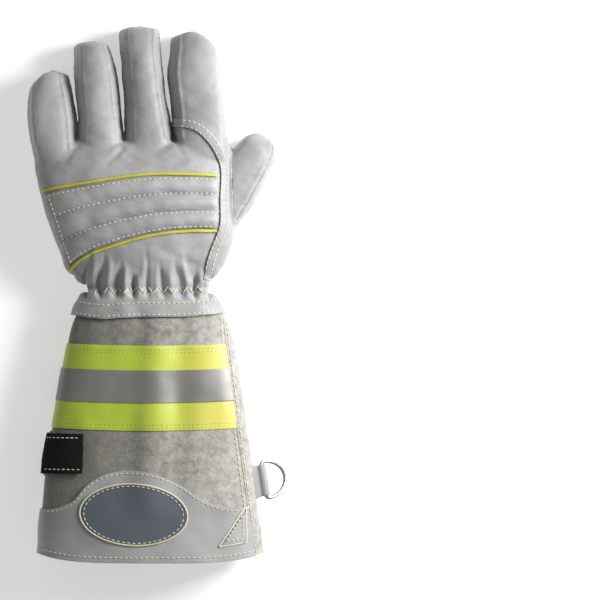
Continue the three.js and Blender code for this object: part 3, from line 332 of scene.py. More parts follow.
class GloveColours(bpy.types.PropertyGroup):
    """Colours of the glove, in linear light."""

    grain: bpy.props.FloatVectorProperty(
        name="Grain leather", description="Smooth grey leather", default=(0.325, 0.325, 0.33),
        subtype="COLOR")
    suede: bpy.props.FloatVectorProperty(
        name="Suede", description="Napped split leather", default=(0.264, 0.25, 0.214), subtype="COLOR")
    yellow: bpy.props.FloatVectorProperty(
        name="Yellow", description="Fluorescent tape", default=(0.43, 0.57, 0.045), subtype="COLOR")
    # painted light: the tape's lit colour, where the key light falls on the thumb side
    warm_yellow: bpy.props.FloatVectorProperty(
        name="Painted lit yellow", description="The tape by the thumb side", default=(0.62, 0.57, 0.1),
        subtype="COLOR")
    silver: bpy.props.FloatVectorProperty(
        name="Silver", description="Reflective tape", default=(0.215, 0.213, 0.196), subtype="COLOR")
    cord: bpy.props.FloatVectorProperty(
        name="Cord", description="Piping", default=(0.56, 0.55, 0.045), subtype="COLOR")
    loop: bpy.props.FloatVectorProperty(
        name="Loop tape", description="Black loop tape", default=(0.006, 0.006, 0.007), subtype="COLOR")
    patch: bpy.props.FloatVectorProperty(
        name="Patch", description="Oval patch", default=(0.1, 0.113, 0.14), subtype="COLOR")
    thread: bpy.props.FloatVectorProperty(
        name="Thread", description="Cream thread", default=(0.72, 0.69, 0.5), subtype="COLOR")
    steel: bpy.props.FloatVectorProperty(
        name="Steel", description="Wire of the ring", default=(0.42, 0.42, 0.43), subtype="COLOR")


def sizes():
    """The driving sizes in millimetres."""
    group = bpy.context.scene.glove_sizes
    return {key: getattr(group, key) / MM for key in GloveSizes.__annotations__}


def colour(name):
    """One of the colours, with full alpha."""
    return (*getattr(bpy.context.scene.glove_colours, name), 1)


# Shapes shared by all pieces


def smooth(rows, column, at, key="along"):
    """A table's column at some places, on a smooth curve through its rows."""
    xs = np.array([row[key] for row in rows])
    ys = np.array([row[column] for row in rows])
    slopes = np.gradient(ys, xs)
    at = np.asarray(at, float)
    i = np.clip(np.searchsorted(xs, at) - 1, 0, len(xs) - 2)
    step = xs[i + 1] - xs[i]
    t = np.clip((at - xs[i]) / step, 0, 1)
    start = (1 + 2 * t) * (1 - t) ** 2 * ys[i] + t * (1 - t) ** 2 * step * slopes[i]
    return start + t * t * (3 - 2 * t) * ys[i + 1] + t * t * (t - 1) * step * slopes[i + 1]


def smoothstep(value, low, high):
    """A smooth rise from 0 to 1."""
    t = np.clip((value - low) / (high - low), 0, 1)
    return t * t * (3 - 2 * t)


def bell(value, wide):
    """A soft hump of height 1 round 0."""
    return np.exp(-((value / wide) ** 2))


def rough(points, size, seed=0.0):
    """Soft noise at some points, from -1 to 1."""
    return np.array([noise.noise(Vector((p[0] / size + seed, p[1] / size, p[2] / size))) for p in points])


def round_section(turn, power_over, power_under):
    """Across and up of a rounded section, from the thumb side over the back and home under the palm."""
    angle = 2 * np.pi * np.asarray(turn)
    across = np.cos(angle)
    power = np.where(np.sin(angle) >= 0, power_over, power_under)
    up = np.maximum(0, 1 - np.abs(across) ** power) ** (1 / power)
    return across, up * np.where(np.sin(angle) >= 0, 1, -1)


def mapped_grid(bm, across, along, place, weld=0.0):
    """A grid whose places, 0 to 1 each way, are bent into a shape. Edges and poles that meet are welded."""
    made = bmesh.ops.create_grid(bm, x_segments=across, y_segments=along, size=0.5)["verts"]
    u = np.clip(np.array([v.co.x for v in made]) + 0.5, 0, 1)
    w = np.clip(np.array([v.co.y for v in made]) + 0.5, 0, 1)
    for vert, co in zip(made, np.stack(place(u, w), axis=-1)):
        vert.co = co
    if weld:
        bmesh.ops.remove_doubles(bm, verts=made, dist=weld)


def turn_outwards(bm, axis_height):
    """Turns an open sheet's faces away from the glove's middle line."""
    total = 0.0
    for face in bm.faces:
        middle = face.calc_center_median()
        total += face.normal.dot(middle - Vector((0, middle.y, axis_height))) * face.calc_area()
    if total < 0:
        bmesh.ops.reverse_faces(bm, faces=bm.faces)


def grid_sheet(across, along, place, height, weld=0.0):
    """An open sheet made of a grid, with its faces turned away from the glove's middle line at a height."""
    bm = bmesh.new()
    mapped_grid(bm, across, along, place, weld)
    bm.normal_update()
    turn_outwards(bm, height)
    return bm


def soften(bm, factor, times=1):
    """Evens out a mesh."""
    for _ in range(times):
        bmesh.ops.smooth_vert(
            bm, verts=bm.verts, factor=factor, use_axis_x=True, use_axis_y=True, use_axis_z=True)


def add_object(name, data):
    """A new object in the scene."""
    made = bpy.data.objects.new(name, data)
    bpy.context.scene.collection.objects.link(made)
    return made


def as_mesh(bm, name):
    """Writes a bmesh to a new mesh and lets go of it."""
    mesh = bpy.data.meshes.new(name)
    bm.to_mesh(mesh)
    bm.free()
    return mesh


def finish_piece(bm, name, look, nodes=(), body="glove", modifiers=()):
    """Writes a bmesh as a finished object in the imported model's frame."""
    bmesh.ops.translate(bm, vec=SHIFT, verts=bm.verts)
    bmesh.ops.scale(bm, vec=(MM, MM, MM), verts=bm.verts)
    mesh = as_mesh(bm, name)
    mesh.shade_smooth()
    mesh.materials.append(look)
    piece = add_object(name, mesh)
    for kind, values in modifiers:
        modifier = piece.modifiers.new(kind.title(), kind)
        for key, value in values.items():
            setattr(modifier, key, value)
    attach(piece, body)
    if nodes:
        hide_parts(*nodes)
    return piece


def wall(thickness, edge=0.3):
    """Modifiers that give a sheet its thickness and soft edges."""
    bevel = {"width": edge * MM, "segments": 2, "limit_method": "ANGLE", "angle_limit": math.radians(55)}
    return [("SOLIDIFY", {"thickness": thickness * MM, "offset": -1}), ("BEVEL", bevel)]


def surface_of(*pieces):
    """A tree of finished pieces' faces, in millimetres about the wrist, to drape things on."""
    verts, faces = [], []
    for piece in pieces:
        start = len(verts)
        verts += [v.co / MM - SHIFT for v in piece.data.vertices]
        faces += [[start + i for i in p.vertices] for p in piece.data.polygons]
    return BVHTree.FromPolygons(verts, faces)


def drape(tree, points, lift=0.0, from_below=False):
    """Drops points in the plane on a surface. Returns their places, lifted off it, and its normals."""
    places, normals = [], []
    way = Vector((0, 0, 1 if from_below else -1))
    for x, y in points:
        start = Vector((x, y, -200 if from_below else 200))
        hit, normal, _, _ = tree.ray_cast(start, way)
        if hit is None:
            hit, normal, _, _ = tree.find_nearest(Vector((x, y, 18)))
        if normal.dot(way) > 0:
            normal = -normal
        places.append(hit + normal * lift)
        normals.append(normal)
    return places, normals


def drape_grid(tree, flat, lift):
    """A grid's places in the plane, dropped on a surface and each lifted off it by its own height."""
    places, normals = drape(tree, flat)
    return tuple((np.array(places) + np.array(normals) * lift[:, None]).T)


def sideways(line):
    """The way to the right of each place on a line in the plane that runs down."""
    ahead = np.gradient(line, axis=0)
    return np.stack([ahead[:, 1], -ahead[:, 0]], axis=-1) / np.linalg.norm(ahead, axis=1)[:, None]


def curve_through(points, count):
    """A smooth line of count points through a few points in the plane."""
    points = np.asarray(points, float)
    run = np.concatenate([[0], np.cumsum(np.linalg.norm(np.diff(points, axis=0), axis=1))])
    rows = [{"at": r, "x": p[0], "y": p[1]} for r, p in zip(run, points)]
    at = np.linspace(0, run[-1], count)
    return np.stack([smooth(rows, "x", at, "at"), smooth(rows, "y", at, "at")], axis=-1)


def tube(bm, places, normals, radius, sides=10, closed=False):
    """A round cord along a line of places."""
    count = len(places)
    rings = []
    for i, (place, normal) in enumerate(zip(places, normals)):
        before = places[i - 1] if i or closed else place
        after = places[(i + 1) % count] if i + 1 < count or closed else place
        ahead = (after - before).normalized()
        side = ahead.cross(normal).normalized()
        up = side.cross(ahead)
        turn = Matrix((side, up, ahead)).transposed().to_4x4()
        ring = bmesh.ops.create_circle(
            bm, segments=sides, radius=radius, matrix=Matrix.Translation(place) @ turn)["verts"]
        rings.append([bm.edges.get((ring[k], ring[(k + 1) % sides])) for k in range(sides)])
    pairs = list(zip(rings, rings[1:])) + ([(rings[-1], rings[0])] if closed else [])
    for a, b in pairs:
        bmesh.ops.bridge_loops(bm, edges=a + b)
    if not closed:
        for ring in (rings[0], rings[-1]):
            bmesh.ops.contextual_create(bm, geom=ring)
    bmesh.ops.recalc_face_normals(bm, faces=bm.faces)


def stitch(bm, places, normals, length, gap, radius):
    """A row of stitches along a line of places."""
    run = 0.0
    next_at = (length + gap) / 2
    for i in range(1, len(places)):
        step = places[i] - places[i - 1]
        size = step.length
        while size > 1e-6 and next_at <= run + size:
            at = places[i - 1] + step * ((next_at - run) / size)
            ahead = step.normalized()
            side = ahead.cross(normals[i]).normalized()
            up = side.cross(ahead)
            turn = Matrix((side, up, ahead)).transposed().to_4x4()
            shape = Matrix.Diagonal((radius, radius * 0.8, length / 2, 1))
            bmesh.ops.create_uvsphere(
                bm, u_segments=6, v_segments=5, radius=1, matrix=Matrix.Translation(at) @ turn @ shape)
            next_at += length + gap
        run += size


# Materials

# painted nap highlight, mixed into the suede towards the thumb side, where the key light falls
PAINTED_NAP_HIGHLIGHT = (0.56, 0.555, 0.53, 1)
LOOP_FIBRES = (0.022, 0.022, 0.024, 1)
OLIVE_TONES = ((0.3, 0.33, 0.05, 1), (0.5, 0.52, 0.2, 1))
FLOOR_TONES = ((0.84, 0.84, 0.84, 1), (0.86, 0.86, 0.86, 1))


def new_group(name, inputs, outputs):
    """An empty shader node group with named sockets."""
    group = bpy.data.node_groups.new(name, "ShaderNodeTree")
    for label, kind, default in inputs:
        socket = group.interface.new_socket(label, in_out="INPUT", socket_type=kind)
        socket.default_value = default
    for label, kind in outputs:
        group.interface.new_socket(label, in_out="OUTPUT", socket_type=kind)
    start = group.nodes.new("NodeGroupInput")
    end = group.nodes.new("NodeGroupOutput")
    return group, start, end


def link(tree, a, b):
    """Joins two sockets."""
    tree.links.new(a, b)


def math_node(tree, operation, a, b):
    """A Math node. Its inputs are sockets or numbers."""
    node = tree.nodes.new("ShaderNodeMath")
    node.operation = operation
    for socket, value in zip(node.inputs, (a, b)):
        if isinstance(value, (int, float)):
            socket.default_value = value
        else:
            link(tree, value, socket)
    return node.outputs[0]


def weighted(tree, a, weight_a, b, weight_b):
    """The sum of two values with their weights."""
    return math_node(
        tree, "ADD", math_node(tree, "MULTIPLY", a, weight_a), math_node(tree, "MULTIPLY", b, weight_b))


def mix_colours(tree, factor, a, b):
    """A Mix node for colours. The factor and colours are sockets or values."""
    node = tree.nodes.new("ShaderNodeMix")
    node.data_type = "RGBA"
    for socket, value in ((node.inputs[0], factor), (node.inputs[6], a), (node.inputs[7], b)):
        if isinstance(value, (int, float, tuple)):
            socket.default_value = value
        else:
            link(tree, value, socket)
    return node.outputs[2]


def stained(tree, base, value, share, tone):
    """A base colour with another mixed in, by a share of a value."""
    return mix_colours(tree, math_node(tree, "MULTIPLY", value, share), base, tone)


def noise_node(tree, vector, scale, detail=4.0, roughness=0.55, kind="FBM", distortion=0.0):
    """A Noise Texture. Its scale is a number or a socket."""
    node = tree.nodes.new("ShaderNodeTexNoise")
    node.noise_type = kind
    node.normalize = True
    link(tree, vector, node.inputs["Vector"])
    node.inputs["Detail"].default_value = detail
    node.inputs["Roughness"].default_value = roughness
    node.inputs["Distortion"].default_value = distortion
    if isinstance(scale, (int, float)):
        node.inputs["Scale"].default_value = scale
    else:
        link(tree, scale, node.inputs["Scale"])
    return node.outputs["Fac"]


def spread(tree, value, low, high):
    """Stretches the values between low and high to 0 and 1."""
    node = tree.nodes.new("ShaderNodeMapRange")
    node.inputs["From Min"].default_value = low
    node.inputs["From Max"].default_value = high
    link(tree, value, node.inputs["Value"])
    return node.outputs["Result"]


def across_glove(tree, where, low, high):
    """Rises from 0 to 1 towards the thumb side, between two places in metres."""
    apart = tree.nodes.new("ShaderNodeSeparateXYZ")
    link(tree, where, apart.inputs[0])
    return spread(tree, apart.outputs["X"], low, high)


def grain_group():
    """Leather grain: small cells, fine creases and soft blotches."""
    name = "Leather grain"
    if name in bpy.data.node_groups:
        return bpy.data.node_groups[name]
    group, start, end = new_group(
        name,
        [("Vector", "NodeSocketVector", (0, 0, 0)), ("Cell scale", "NodeSocketFloat", 900.0),
         ("Crease scale", "NodeSocketFloat", 90.0)],
        [("Height", "NodeSocketFloat"), ("Blotches", "NodeSocketFloat"), ("Creases", "NodeSocketFloat")],
    )
    vector = start.outputs["Vector"]
    cells = group.nodes.new("ShaderNodeTexVoronoi")
    cells.feature = "F1"
    link(group, vector, cells.inputs["Vector"])
    link(group, start.outputs["Cell scale"], cells.inputs["Scale"])
    fine = noise_node(group, vector, 2600.0, 3.0)
    creases = noise_node(group, vector, start.outputs["Crease scale"], 5.0, 0.6, "RIDGED_MULTIFRACTAL", 0.4)
    lines = spread(group, creases, 0.45, 0.95)
    soft = noise_node(group, vector, 22.0, 5.0, 0.6)
    pebble = weighted(group, cells.outputs["Distance"], 0.5, fine, 0.25)
    height = math_node(group, "SUBTRACT", pebble, math_node(group, "MULTIPLY", lines, 0.55))
    link(group, height, end.inputs["Height"])
    link(group, spread(group, soft, 0.32, 0.68), end.inputs["Blotches"])
    link(group, lines, end.inputs["Creases"])
    return group


def nap_group():
    """Suede nap: short fibres, brushed patches and darker hollows."""
    name = "Suede nap"
    if name in bpy.data.node_groups:
        return bpy.data.node_groups[name]
    group, start, end = new_group(
        name,
        [("Vector", "NodeSocketVector", (0, 0, 0)), ("Fibre scale", "NodeSocketFloat", 1700.0),
         ("Patch scale", "NodeSocketFloat", 60.0)],
        [("Height", "NodeSocketFloat"), ("Patches", "NodeSocketFloat"), ("Fibres", "NodeSocketFloat")],
    )
    vector = start.outputs["Vector"]
    fibres = noise_node(group, vector, start.outputs["Fibre scale"], 3.0, 0.7)
    patches = noise_node(group, vector, start.outputs["Patch scale"], 8.0, 0.78)
    wide = noise_node(group, vector, 17.0, 3.0, 0.6)
    both = weighted(group, patches, 0.7, wide, 0.3)
    link(group, weighted(group, fibres, 0.7, patches, 1.4), end.inputs["Height"])
    link(group, spread(group, both, 0.36, 0.64), end.inputs["Patches"])
    link(group, spread(group, fibres, 0.3, 0.7), end.inputs["Fibres"])
    return group


def weave_group():
    """A plain weave or a fine lattice, from two crossed rows of waves."""
    name = "Weave"
    if name in bpy.data.node_groups:
        return bpy.data.node_groups[name]
    group, start, end = new_group(
        name,
        [("Vector", "NodeSocketVector", (0, 0, 0)), ("Thread scale", "NodeSocketFloat", 400.0)],
        [("Height", "NodeSocketFloat"), ("Fuzz", "NodeSocketFloat")],
    )
    waves = []
    for direction in ("X", "Y"):
        wave = group.nodes.new("ShaderNodeTexWave")
        wave.bands_direction = direction
        wave.inputs["Distortion"].default_value = 0.6
        wave.inputs["Detail"].default_value = 1.0
        link(group, start.outputs["Vector"], wave.inputs["Vector"])
        link(group, start.outputs["Thread scale"], wave.inputs["Scale"])
        waves.append(wave.outputs["Fac"])
    link(group, math_node(group, "MULTIPLY", *waves), end.inputs["Height"])
    fuzz = noise_node(group, start.outputs["Vector"], 900.0, 4.0, 0.7)
    link(group, spread(group, fuzz, 0.3, 0.7), end.inputs["Fuzz"])
    return group


def new_material(name, roughness):
    """A material with a Principled shader. Returns it with its nodes and object coordinates."""
    look = bpy.data.materials.new(name)
    look.use_nodes = True
    tree = look.node_tree
    shader = tree.nodes["Principled BSDF"]
    shader.inputs["Roughness"].default_value = roughness
    where = tree.nodes.new("ShaderNodeTexCoord").outputs["Object"]
    return look, tree, shader, where


def place_group(tree, group, where, **values):
    """Puts a node group in a material with its own values."""
    node = tree.nodes.new("ShaderNodeGroup")
    node.node_tree = group
    link(tree, where, node.inputs["Vector"])
    for key, value in values.items():
        node.inputs[key.replace("_", " ").capitalize()].default_value = value
    return node


def bump(tree, shader, height, distance, strength=1.0):
    """Drives the shader's normal with a height."""
    node = tree.nodes.new("ShaderNodeBump")
    node.inputs["Distance"].default_value = distance * MM
    node.inputs["Strength"].default_value = strength
    link(tree, height, node.inputs["Height"])
    link(tree, node.outputs["Normal"], shader.inputs["Normal"])


def material(name):
    """The material of that name, made on its first use."""
    if name in bpy.data.materials:
        return bpy.data.materials[name]
    return MATERIALS[name](name)


def darker(tone, share):
    """A colour with some of its light taken away."""
    return (*[c * share for c in tone[:3]], 1)


def grain_leather(name):
    """Worn grain leather with soft blotches and dark creases."""
    look, tree, shader, where = new_material(name, 0.55)
    tone = colour("grain")
    grain = place_group(tree, grain_group(), where, cell_scale=760.0, crease_scale=70.0)
    base = mix_colours(tree, grain.outputs["Blotches"], darker(tone, 0.8), darker(tone, 1.12))
    base = stained(tree, base, grain.outputs["Creases"], 0.34, darker(tone, 0.5))
    link(tree, base, shader.inputs["Base Color"])
    rough_map = math_node(tree, "ADD", math_node(tree, "MULTIPLY", grain.outputs["Blotches"], 0.14), 0.46)
    link(tree, rough_map, shader.inputs["Roughness"])
    shader.inputs["Sheen Weight"].default_value = 0.08
    bump(tree, shader, grain.outputs["Height"], 0.22, 0.7)
    return look


def suede(name):
    """Napped split leather, mottled where it was brushed, with painted light: painted shade towards the
    little-finger side and painted nap highlights towards the thumb side.
    """
    look, tree, shader, where = new_material(name, 0.95)
    tone = colour("suede")
    nap = place_group(tree, nap_group(), where, fibre_scale=1300.0, patch_scale=170.0)
    base = mix_colours(tree, nap.outputs["Patches"], darker(tone, 0.58), darker(tone, 1.45))
    base = stained(tree, base, nap.outputs["Fibres"], 0.45, darker(tone, 0.45))
    # painted shade: the suede darkens towards the little-finger side, away from the key light
    outer = across_glove(tree, where, -0.045, 0.035)
    base = mix_colours(tree, outer, mix_colours(tree, 0.6, base, darker(tone, 0.36)), base)
    # painted highlight: bright nap in the patches towards the thumb side, where the key light falls
    lit_nap_patches = math_node(tree, "MULTIPLY", outer, nap.outputs["Patches"])
    base = stained(tree, base, lit_nap_patches, 0.6, PAINTED_NAP_HIGHLIGHT)
    link(tree, base, shader.inputs["Base Color"])
    shader.inputs["Sheen Weight"].default_value = 0.25
    shader.inputs["Sheen Roughness"].default_value = 0.6
    bump(tree, shader, nap.outputs["Height"], 0.45, 0.9)
    return look


def woven(name, tone_name, roughness, scale, depth, dark=0.7):
    """Cloth or tape with a fine woven face."""
    look, tree, shader, where = new_material(name, roughness)
    tone = colour(tone_name)
    weave = place_group(tree, weave_group(), where, thread_scale=scale)
    base = mix_colours(tree, weave.outputs["Height"], darker(tone, dark), darker(tone, 1.08))
    base = stained(tree, base, weave.outputs["Fuzz"], 0.22, darker(tone, dark))
    link(tree, base, shader.inputs["Base Color"])
    bump(tree, shader, weave.outputs["Height"], depth, 0.8)
    return look, shader


def yellow_tape(name):
    """Fluorescent tape with a fine lattice, lighter and warmer towards the thumb side: painted light from the
    key light on that side.
    """
    look, tree, shader, where = new_material(name, 0.42)
    weave = place_group(tree, weave_group(), where, thread_scale=330.0)
    # painted light: the tape turns to its lit colour towards the thumb side
    lit_side = across_glove(tree, where, -0.02, 0.045)
    tone = mix_colours(tree, lit_side, colour("yellow"), colour("warm_yellow"))
    base = mix_colours(tree, weave.outputs["Height"], mix_colours(tree, 0.16, tone, (0, 0, 0, 1)), tone)
    link(tree, base, shader.inputs["Base Color"])
    bump(tree, shader, weave.outputs["Height"], 0.05, 0.8)
    return look


def silver_tape(name):
    """Reflective tape of tiny beads."""
    look, shader = woven(name, "silver", 0.4, 900.0, 0.02, 0.9)
    shader.inputs["Metallic"].default_value = 0.25
    return look


def loop_tape(name):
    """Black tape with a fuzzy looped face."""
    look, tree, shader, where = new_material(name, 1.0)
    tone = colour("loop")
    nap = place_group(tree, nap_group(), where, fibre_scale=2200.0, patch_scale=500.0)
    base = mix_colours(tree, nap.outputs["Fibres"], tone, LOOP_FIBRES)
    link(tree, base, shader.inputs["Base Color"])
    shader.inputs["Specular IOR Level"].default_value = 0.15
    bump(tree, shader, nap.outputs["Height"], 0.5, 1.0)
    return look


def coated_cloth(name):
    """The oval patch's coated cloth."""
    look, shader = woven(name, "patch", 0.42, 420.0, 0.03, 0.8)
    shader.inputs["Coat Weight"].default_value = 0.15
    shader.inputs["Coat Roughness"].default_value = 0.35
    return look


def cord_cloth(name):
    """Bright piping cloth."""
    return woven(name, "cord", 0.5, 700.0, 0.05, 0.8)[0]


def cream_thread(name):
    """Twisted cream thread."""
    return woven(name, "thread", 0.7, 1500.0, 0.05, 0.75)[0]


def olive_thread(name):
    """Thread that is sewn through the yellow tape."""
    look, tree, shader, where = new_material(name, 0.7)
    fuzz = place_group(tree, weave_group(), where, thread_scale=1500.0)
    link(tree, mix_colours(tree, fuzz.outputs["Fuzz"], *OLIVE_TONES), shader.inputs["Base Color"])
    return look


def bent_steel(name):
    """Drawn steel wire with light scuffs."""
    look, tree, shader, where = new_material(name, 0.3)
    tone = colour("steel")
    scuffs = noise_node(tree, where, 500.0, 6.0, 0.7)
    link(tree, mix_colours(tree, scuffs, darker(tone, 0.7), darker(tone, 1.2)), shader.inputs["Base Color"])
    rough_map = math_node(tree, "ADD", math_node(tree, "MULTIPLY", scuffs, 0.25), 0.18)
    link(tree, rough_map, shader.inputs["Roughness"])
    shader.inputs["Metallic"].default_value = 1.0
    return look


def pale_floor(name):
    """The studio's floor. It glows a little, a painted light that keeps it white and lifts the shadows on it.
    """
    look, tree, shader, where = new_material(name, 0.9)
    soft = noise_node(tree, where, 2.0, 2.0)
    link(tree, mix_colours(tree, soft, *FLOOR_TONES), shader.inputs["Base Color"])
    # painted light: the floor glows, though it is no lamp
    shader.inputs["Emission Color"].default_value = (1, 1, 1, 1)
    shader.inputs["Emission Strength"].default_value = 0.42
    return look


MATERIALS = {
    "Grain leather": grain_leather,
    "Suede": suede,
    "Yellow tape": yellow_tape,
    "Silver tape": silver_tape,
    "Loop tape": loop_tape,
    "Coated cloth": coated_cloth,
    "Piping cloth": cord_cloth,
    "Cream thread": cream_thread,
    "Olive thread": olive_thread,
    "Bent steel": bent_steel,
    "Pale floor": pale_floor,
}


# The hand


def hand_along(y):
    """A place along the hand's table, from its distance past the wrist line."""
    return np.where(np.asarray(y) < 0, np.asarray(y) / LAP, np.asarray(y) / sizes()["palm_length"])


def hand_place(turn, y, s, cap=1.0):
    """Points of the hand's body. cap draws a section in to its middle."""
    along = hand_along(y)
    left, right = (smooth(HAND_SECTIONS, c, along) * s["palm_breadth"] for c in ("left", "right"))
    low, high = (smooth(HAND_SECTIONS, c, along) * s["palm_depth"] for c in ("low", "high"))
    across, up = round_section(turn, BACK_POWER, PALM_POWER)
    x = (left + right) / 2 + (right - left) / 2 * across * cap
    return x, y, (low + high) / 2 + (high - low) / 2 * up * cap


def finger_middle(finger, along, s):
    """A finger's centre line."""
    straight = finger["root"] + (finger["tip"] - finger["root"]) * along
    return (straight + 4 * finger["bow"] * along * (1 - along)) * s["palm_breadth"]


def finger_span(finger, s):
    """Where a finger starts and how long it is."""
    start = FINGER_ROOT * s["palm_length"]
    return start, finger["reach"] * s["hand_length"] - start


def finger_sides(number, along, s):
    """A finger's middle and half width, kept clear of its neighbours."""
    finger = FINGERS[number]
    start, length = finger_span(finger, s)
    y = start + along * length
    middle = finger_middle(finger, along, s)
    half = smooth(FINGER_SECTIONS, "wide", along) * finger["width"] * s["palm_breadth"] / 2
    left, right = middle - half, middle + half
    by_slit = 1 - smoothstep(along, 0.78, 0.94)
    if number > 0:
        slit = FINGER_SLITS[number - 1]
        edge = smooth(slit, "x", y, "y") + smooth(slit, "gap", y, "y")
        left = np.maximum(left + (edge - left) * by_slit, edge)
    if number < 3:
        slit = FINGER_SLITS[number]
        edge = smooth(slit, "x", y, "y") - smooth(slit, "gap", y, "y")
        right = np.minimum(right + (edge - right) * by_slit, edge)
    return (left + right) / 2, (right - left) / 2


def boxed_section(turn, walls):
    """Across and up of a finger's section: a crowned back panel with a wall sloping out on each side."""
    across, up = round_section(turn, FINGER_POWER, FINGER_POWER)
    left, right = walls
    panel = (across - (left - right) / 2) / (1 - (left + right) / 2)
    beyond = np.where(across < 0, left - 1 - across, across - 1 + right) / np.where(across < 0, left, right)
    crown = 1 - PANEL_DROP * panel**2
    sides = (1 - PANEL_DROP) * (1 - np.clip(beyond, 0, 1) ** 1.4)
    return across, np.where(up >= 0, np.where(beyond < 0, crown, sides), up)


def tip_drop(finger, across, along):
    """How much lower a place on a finger lies because its tip's corners drop."""
    drops = FINGER_SIDES[finger["name"]]["drops"]
    return np.where(across < 0, *drops) * across**2 * smoothstep(along, 0.55, 1)


def finger_place(number, turn, along, s, cap=1.0):
    """Points of one finger."""
    finger = FINGERS[number]
    start, length = finger_span(finger, s)
    middle, half = finger_sides(number, along, s)
    low, high = (smooth(FINGER_SECTIONS, c, along) * FINGER_DEPTH for c in ("low", "high"))
    across, up = boxed_section(turn, FINGER_SIDES[finger["name"]]["walls"])
    y = start + along * length - tip_drop(finger, across * cap, along)
    return middle + half * across * cap, y, (low + high) / 2 + (high - low) / 2 * up * cap


def spread_out(number, x, y, z):
    """Moves a finger's points away from its neighbours."""
    return x + (number - 1.5) * SPREAD * smoothstep(y, SPREAD_FROM, SPREAD_TO), y, z


def draw_together(co):
    """Moves the points of the spread skin back to where their fingers lie."""
    x, y = co[:, 0].copy(), co[:, 1]
    share = SPREAD * smoothstep(y, SPREAD_FROM, SPREAD_TO)
    number = np.zeros(len(x))
    for i, slit in enumerate(FINGER_SLITS):
        number += x > smooth(slit, "x", y, "y") + (i - 1) * share
    return x - (number - 1.5) * share


def thumb_place(turn, along, s, cap=1.0):
    """Points of the thumb, square to its centre line."""
    def centre(at):
        x = smooth(THUMB_SECTIONS, "x", at) * s["palm_breadth"]
        return x, smooth(THUMB_SECTIONS, "y", at) * s["palm_length"]
    x, y = centre(along)
    before, after = centre(np.clip(along - 0.02, 0, 1)), centre(np.clip(along + 0.02, 0, 1))
    dx, dy = after[0] - before[0], after[1] - before[1]
    size = np.hypot(dx, dy)
    half = smooth(THUMB_SECTIONS, "wide", along) * THUMB_WIDTH / 2
    low, high = (smooth(THUMB_SECTIONS, c, along) * THUMB_DEPTH for c in ("low", "high"))
    across, up = boxed_section(turn, THUMB_WALLS)
    aside = half * across * cap
    return x + dy / size * aside, y - dx / size * aside, (low + high) / 2 + (high - low) / 2 * up * cap


def closed_ends(w, rows):
    """Draws the first and last row of a form in to a point, so that it is closed."""
    return np.where((w < 0.5 / rows) | (w > 1 - 0.5 / rows), 0.0, 1.0)


def hand_form(s):
    """The palm, fingers and thumb as one soft skin of even faces."""
    bm = bmesh.new()

    def add(across, rows, place):
        mapped_grid(bm, across, rows, lambda u, w: place(u, w, closed_ends(w, rows)), 0.001)

    first, last = -LAP - 8, HAND_SECTIONS[-1]["along"] * s["palm_length"]
    add(90, 60, lambda u, w, cap: hand_place(u, first + w * (last - first), s, cap))
    for number in range(4):
        add(72, 50, lambda u, w, cap: spread_out(number, *finger_place(number, u, w, s, cap)))
    add(48, 50, lambda u, w, cap: spread_out(3, *thumb_place(u, w, s, cap)))
    bmesh.ops.recalc_face_normals(bm, faces=bm.faces)
    form = add_object("hand_form", as_mesh(bm, "hand_form"))
    remesh = form.modifiers.new("Remesh", "REMESH")
    remesh.mode = "VOXEL"
    remesh.voxel_size = s["fineness"] * 1
    skin = bpy.data.meshes.new_from_object(form.evaluated_get(bpy.context.evaluated_depsgraph_get()))
    bpy.data.objects.remove(form)
    bm = bmesh.new()
    bm.from_mesh(skin)
    bpy.data.meshes.remove(skin)
    soften(bm, 0.5, 5)
    for vert, x in zip(bm.verts, draw_together(np.array([v.co for v in bm.verts]))):
        vert.co.x = x
    return bm


def finger_seams(s):
    """The raised seams along the backs of the fingers, as lines in the plane with their heights."""
    lines = []
    for number, finger in enumerate(FINGERS):
        start, length = finger_span(finger, s)
        run = np.linspace(0.22, 0.965, 40)
        middle, half = finger_sides(number, run, s)
        sides = FINGER_SIDES[finger["name"]]
        for way, wide, height in zip((-1, 1), sides["walls"], sides["seams"]):
            across = np.full_like(run, way * (1 - wide))
            y = start + run * length - tip_drop(finger, across, run)
            lines.append((np.stack([middle + half * across, y], axis=-1), height))
    return lines


def thumb_seam(s):
    """The thumb's seam, towards its outer side."""
    run = np.linspace(0.3, 0.97, 30)
    x, y, _ = thumb_place(np.full_like(run, 0.11), run, s)
    return np.stack([x, y], axis=-1)


def welt_curve(s, count):
    """The welt's middle line."""
    points = [(row["x"] * s["palm_breadth"], row["y"] * s["palm_length"]) for row in WELT_LINE]
    return curve_through(points, count)


def seam_relief(bm, s):
    """How high each point of the hand's skin stands on a seam, or how deep it lies beside one."""
    tree = BVHTree.FromBMesh(bm)
    marks = [(line, height, False) for line, height in finger_seams(s)]
    marks += [(thumb_seam(s), THUMB_GROOVE, False)] + [(line, PALM_RIDGE, True) for line in palm_seams()]
    places, heights = [], []
    for line, height, below in marks:
        drawn, _ = drape(tree, curve_through(line, 200), from_below=below)
        places += drawn
        heights += [height] * len(drawn)
    seams = kdtree.KDTree(len(places))
    for index, place in enumerate(places):
        seams.insert(place, index)
    seams.balance()
    nearest = [seams.find(v.co) for v in bm.verts]
    distance = np.array([found[2] for found in nearest])
    height = np.array(heights)[[found[1] for found in nearest]]
    return height * bell(distance, 0.95) - 0.35 * height * bell(distance - 2.4, 1.3)


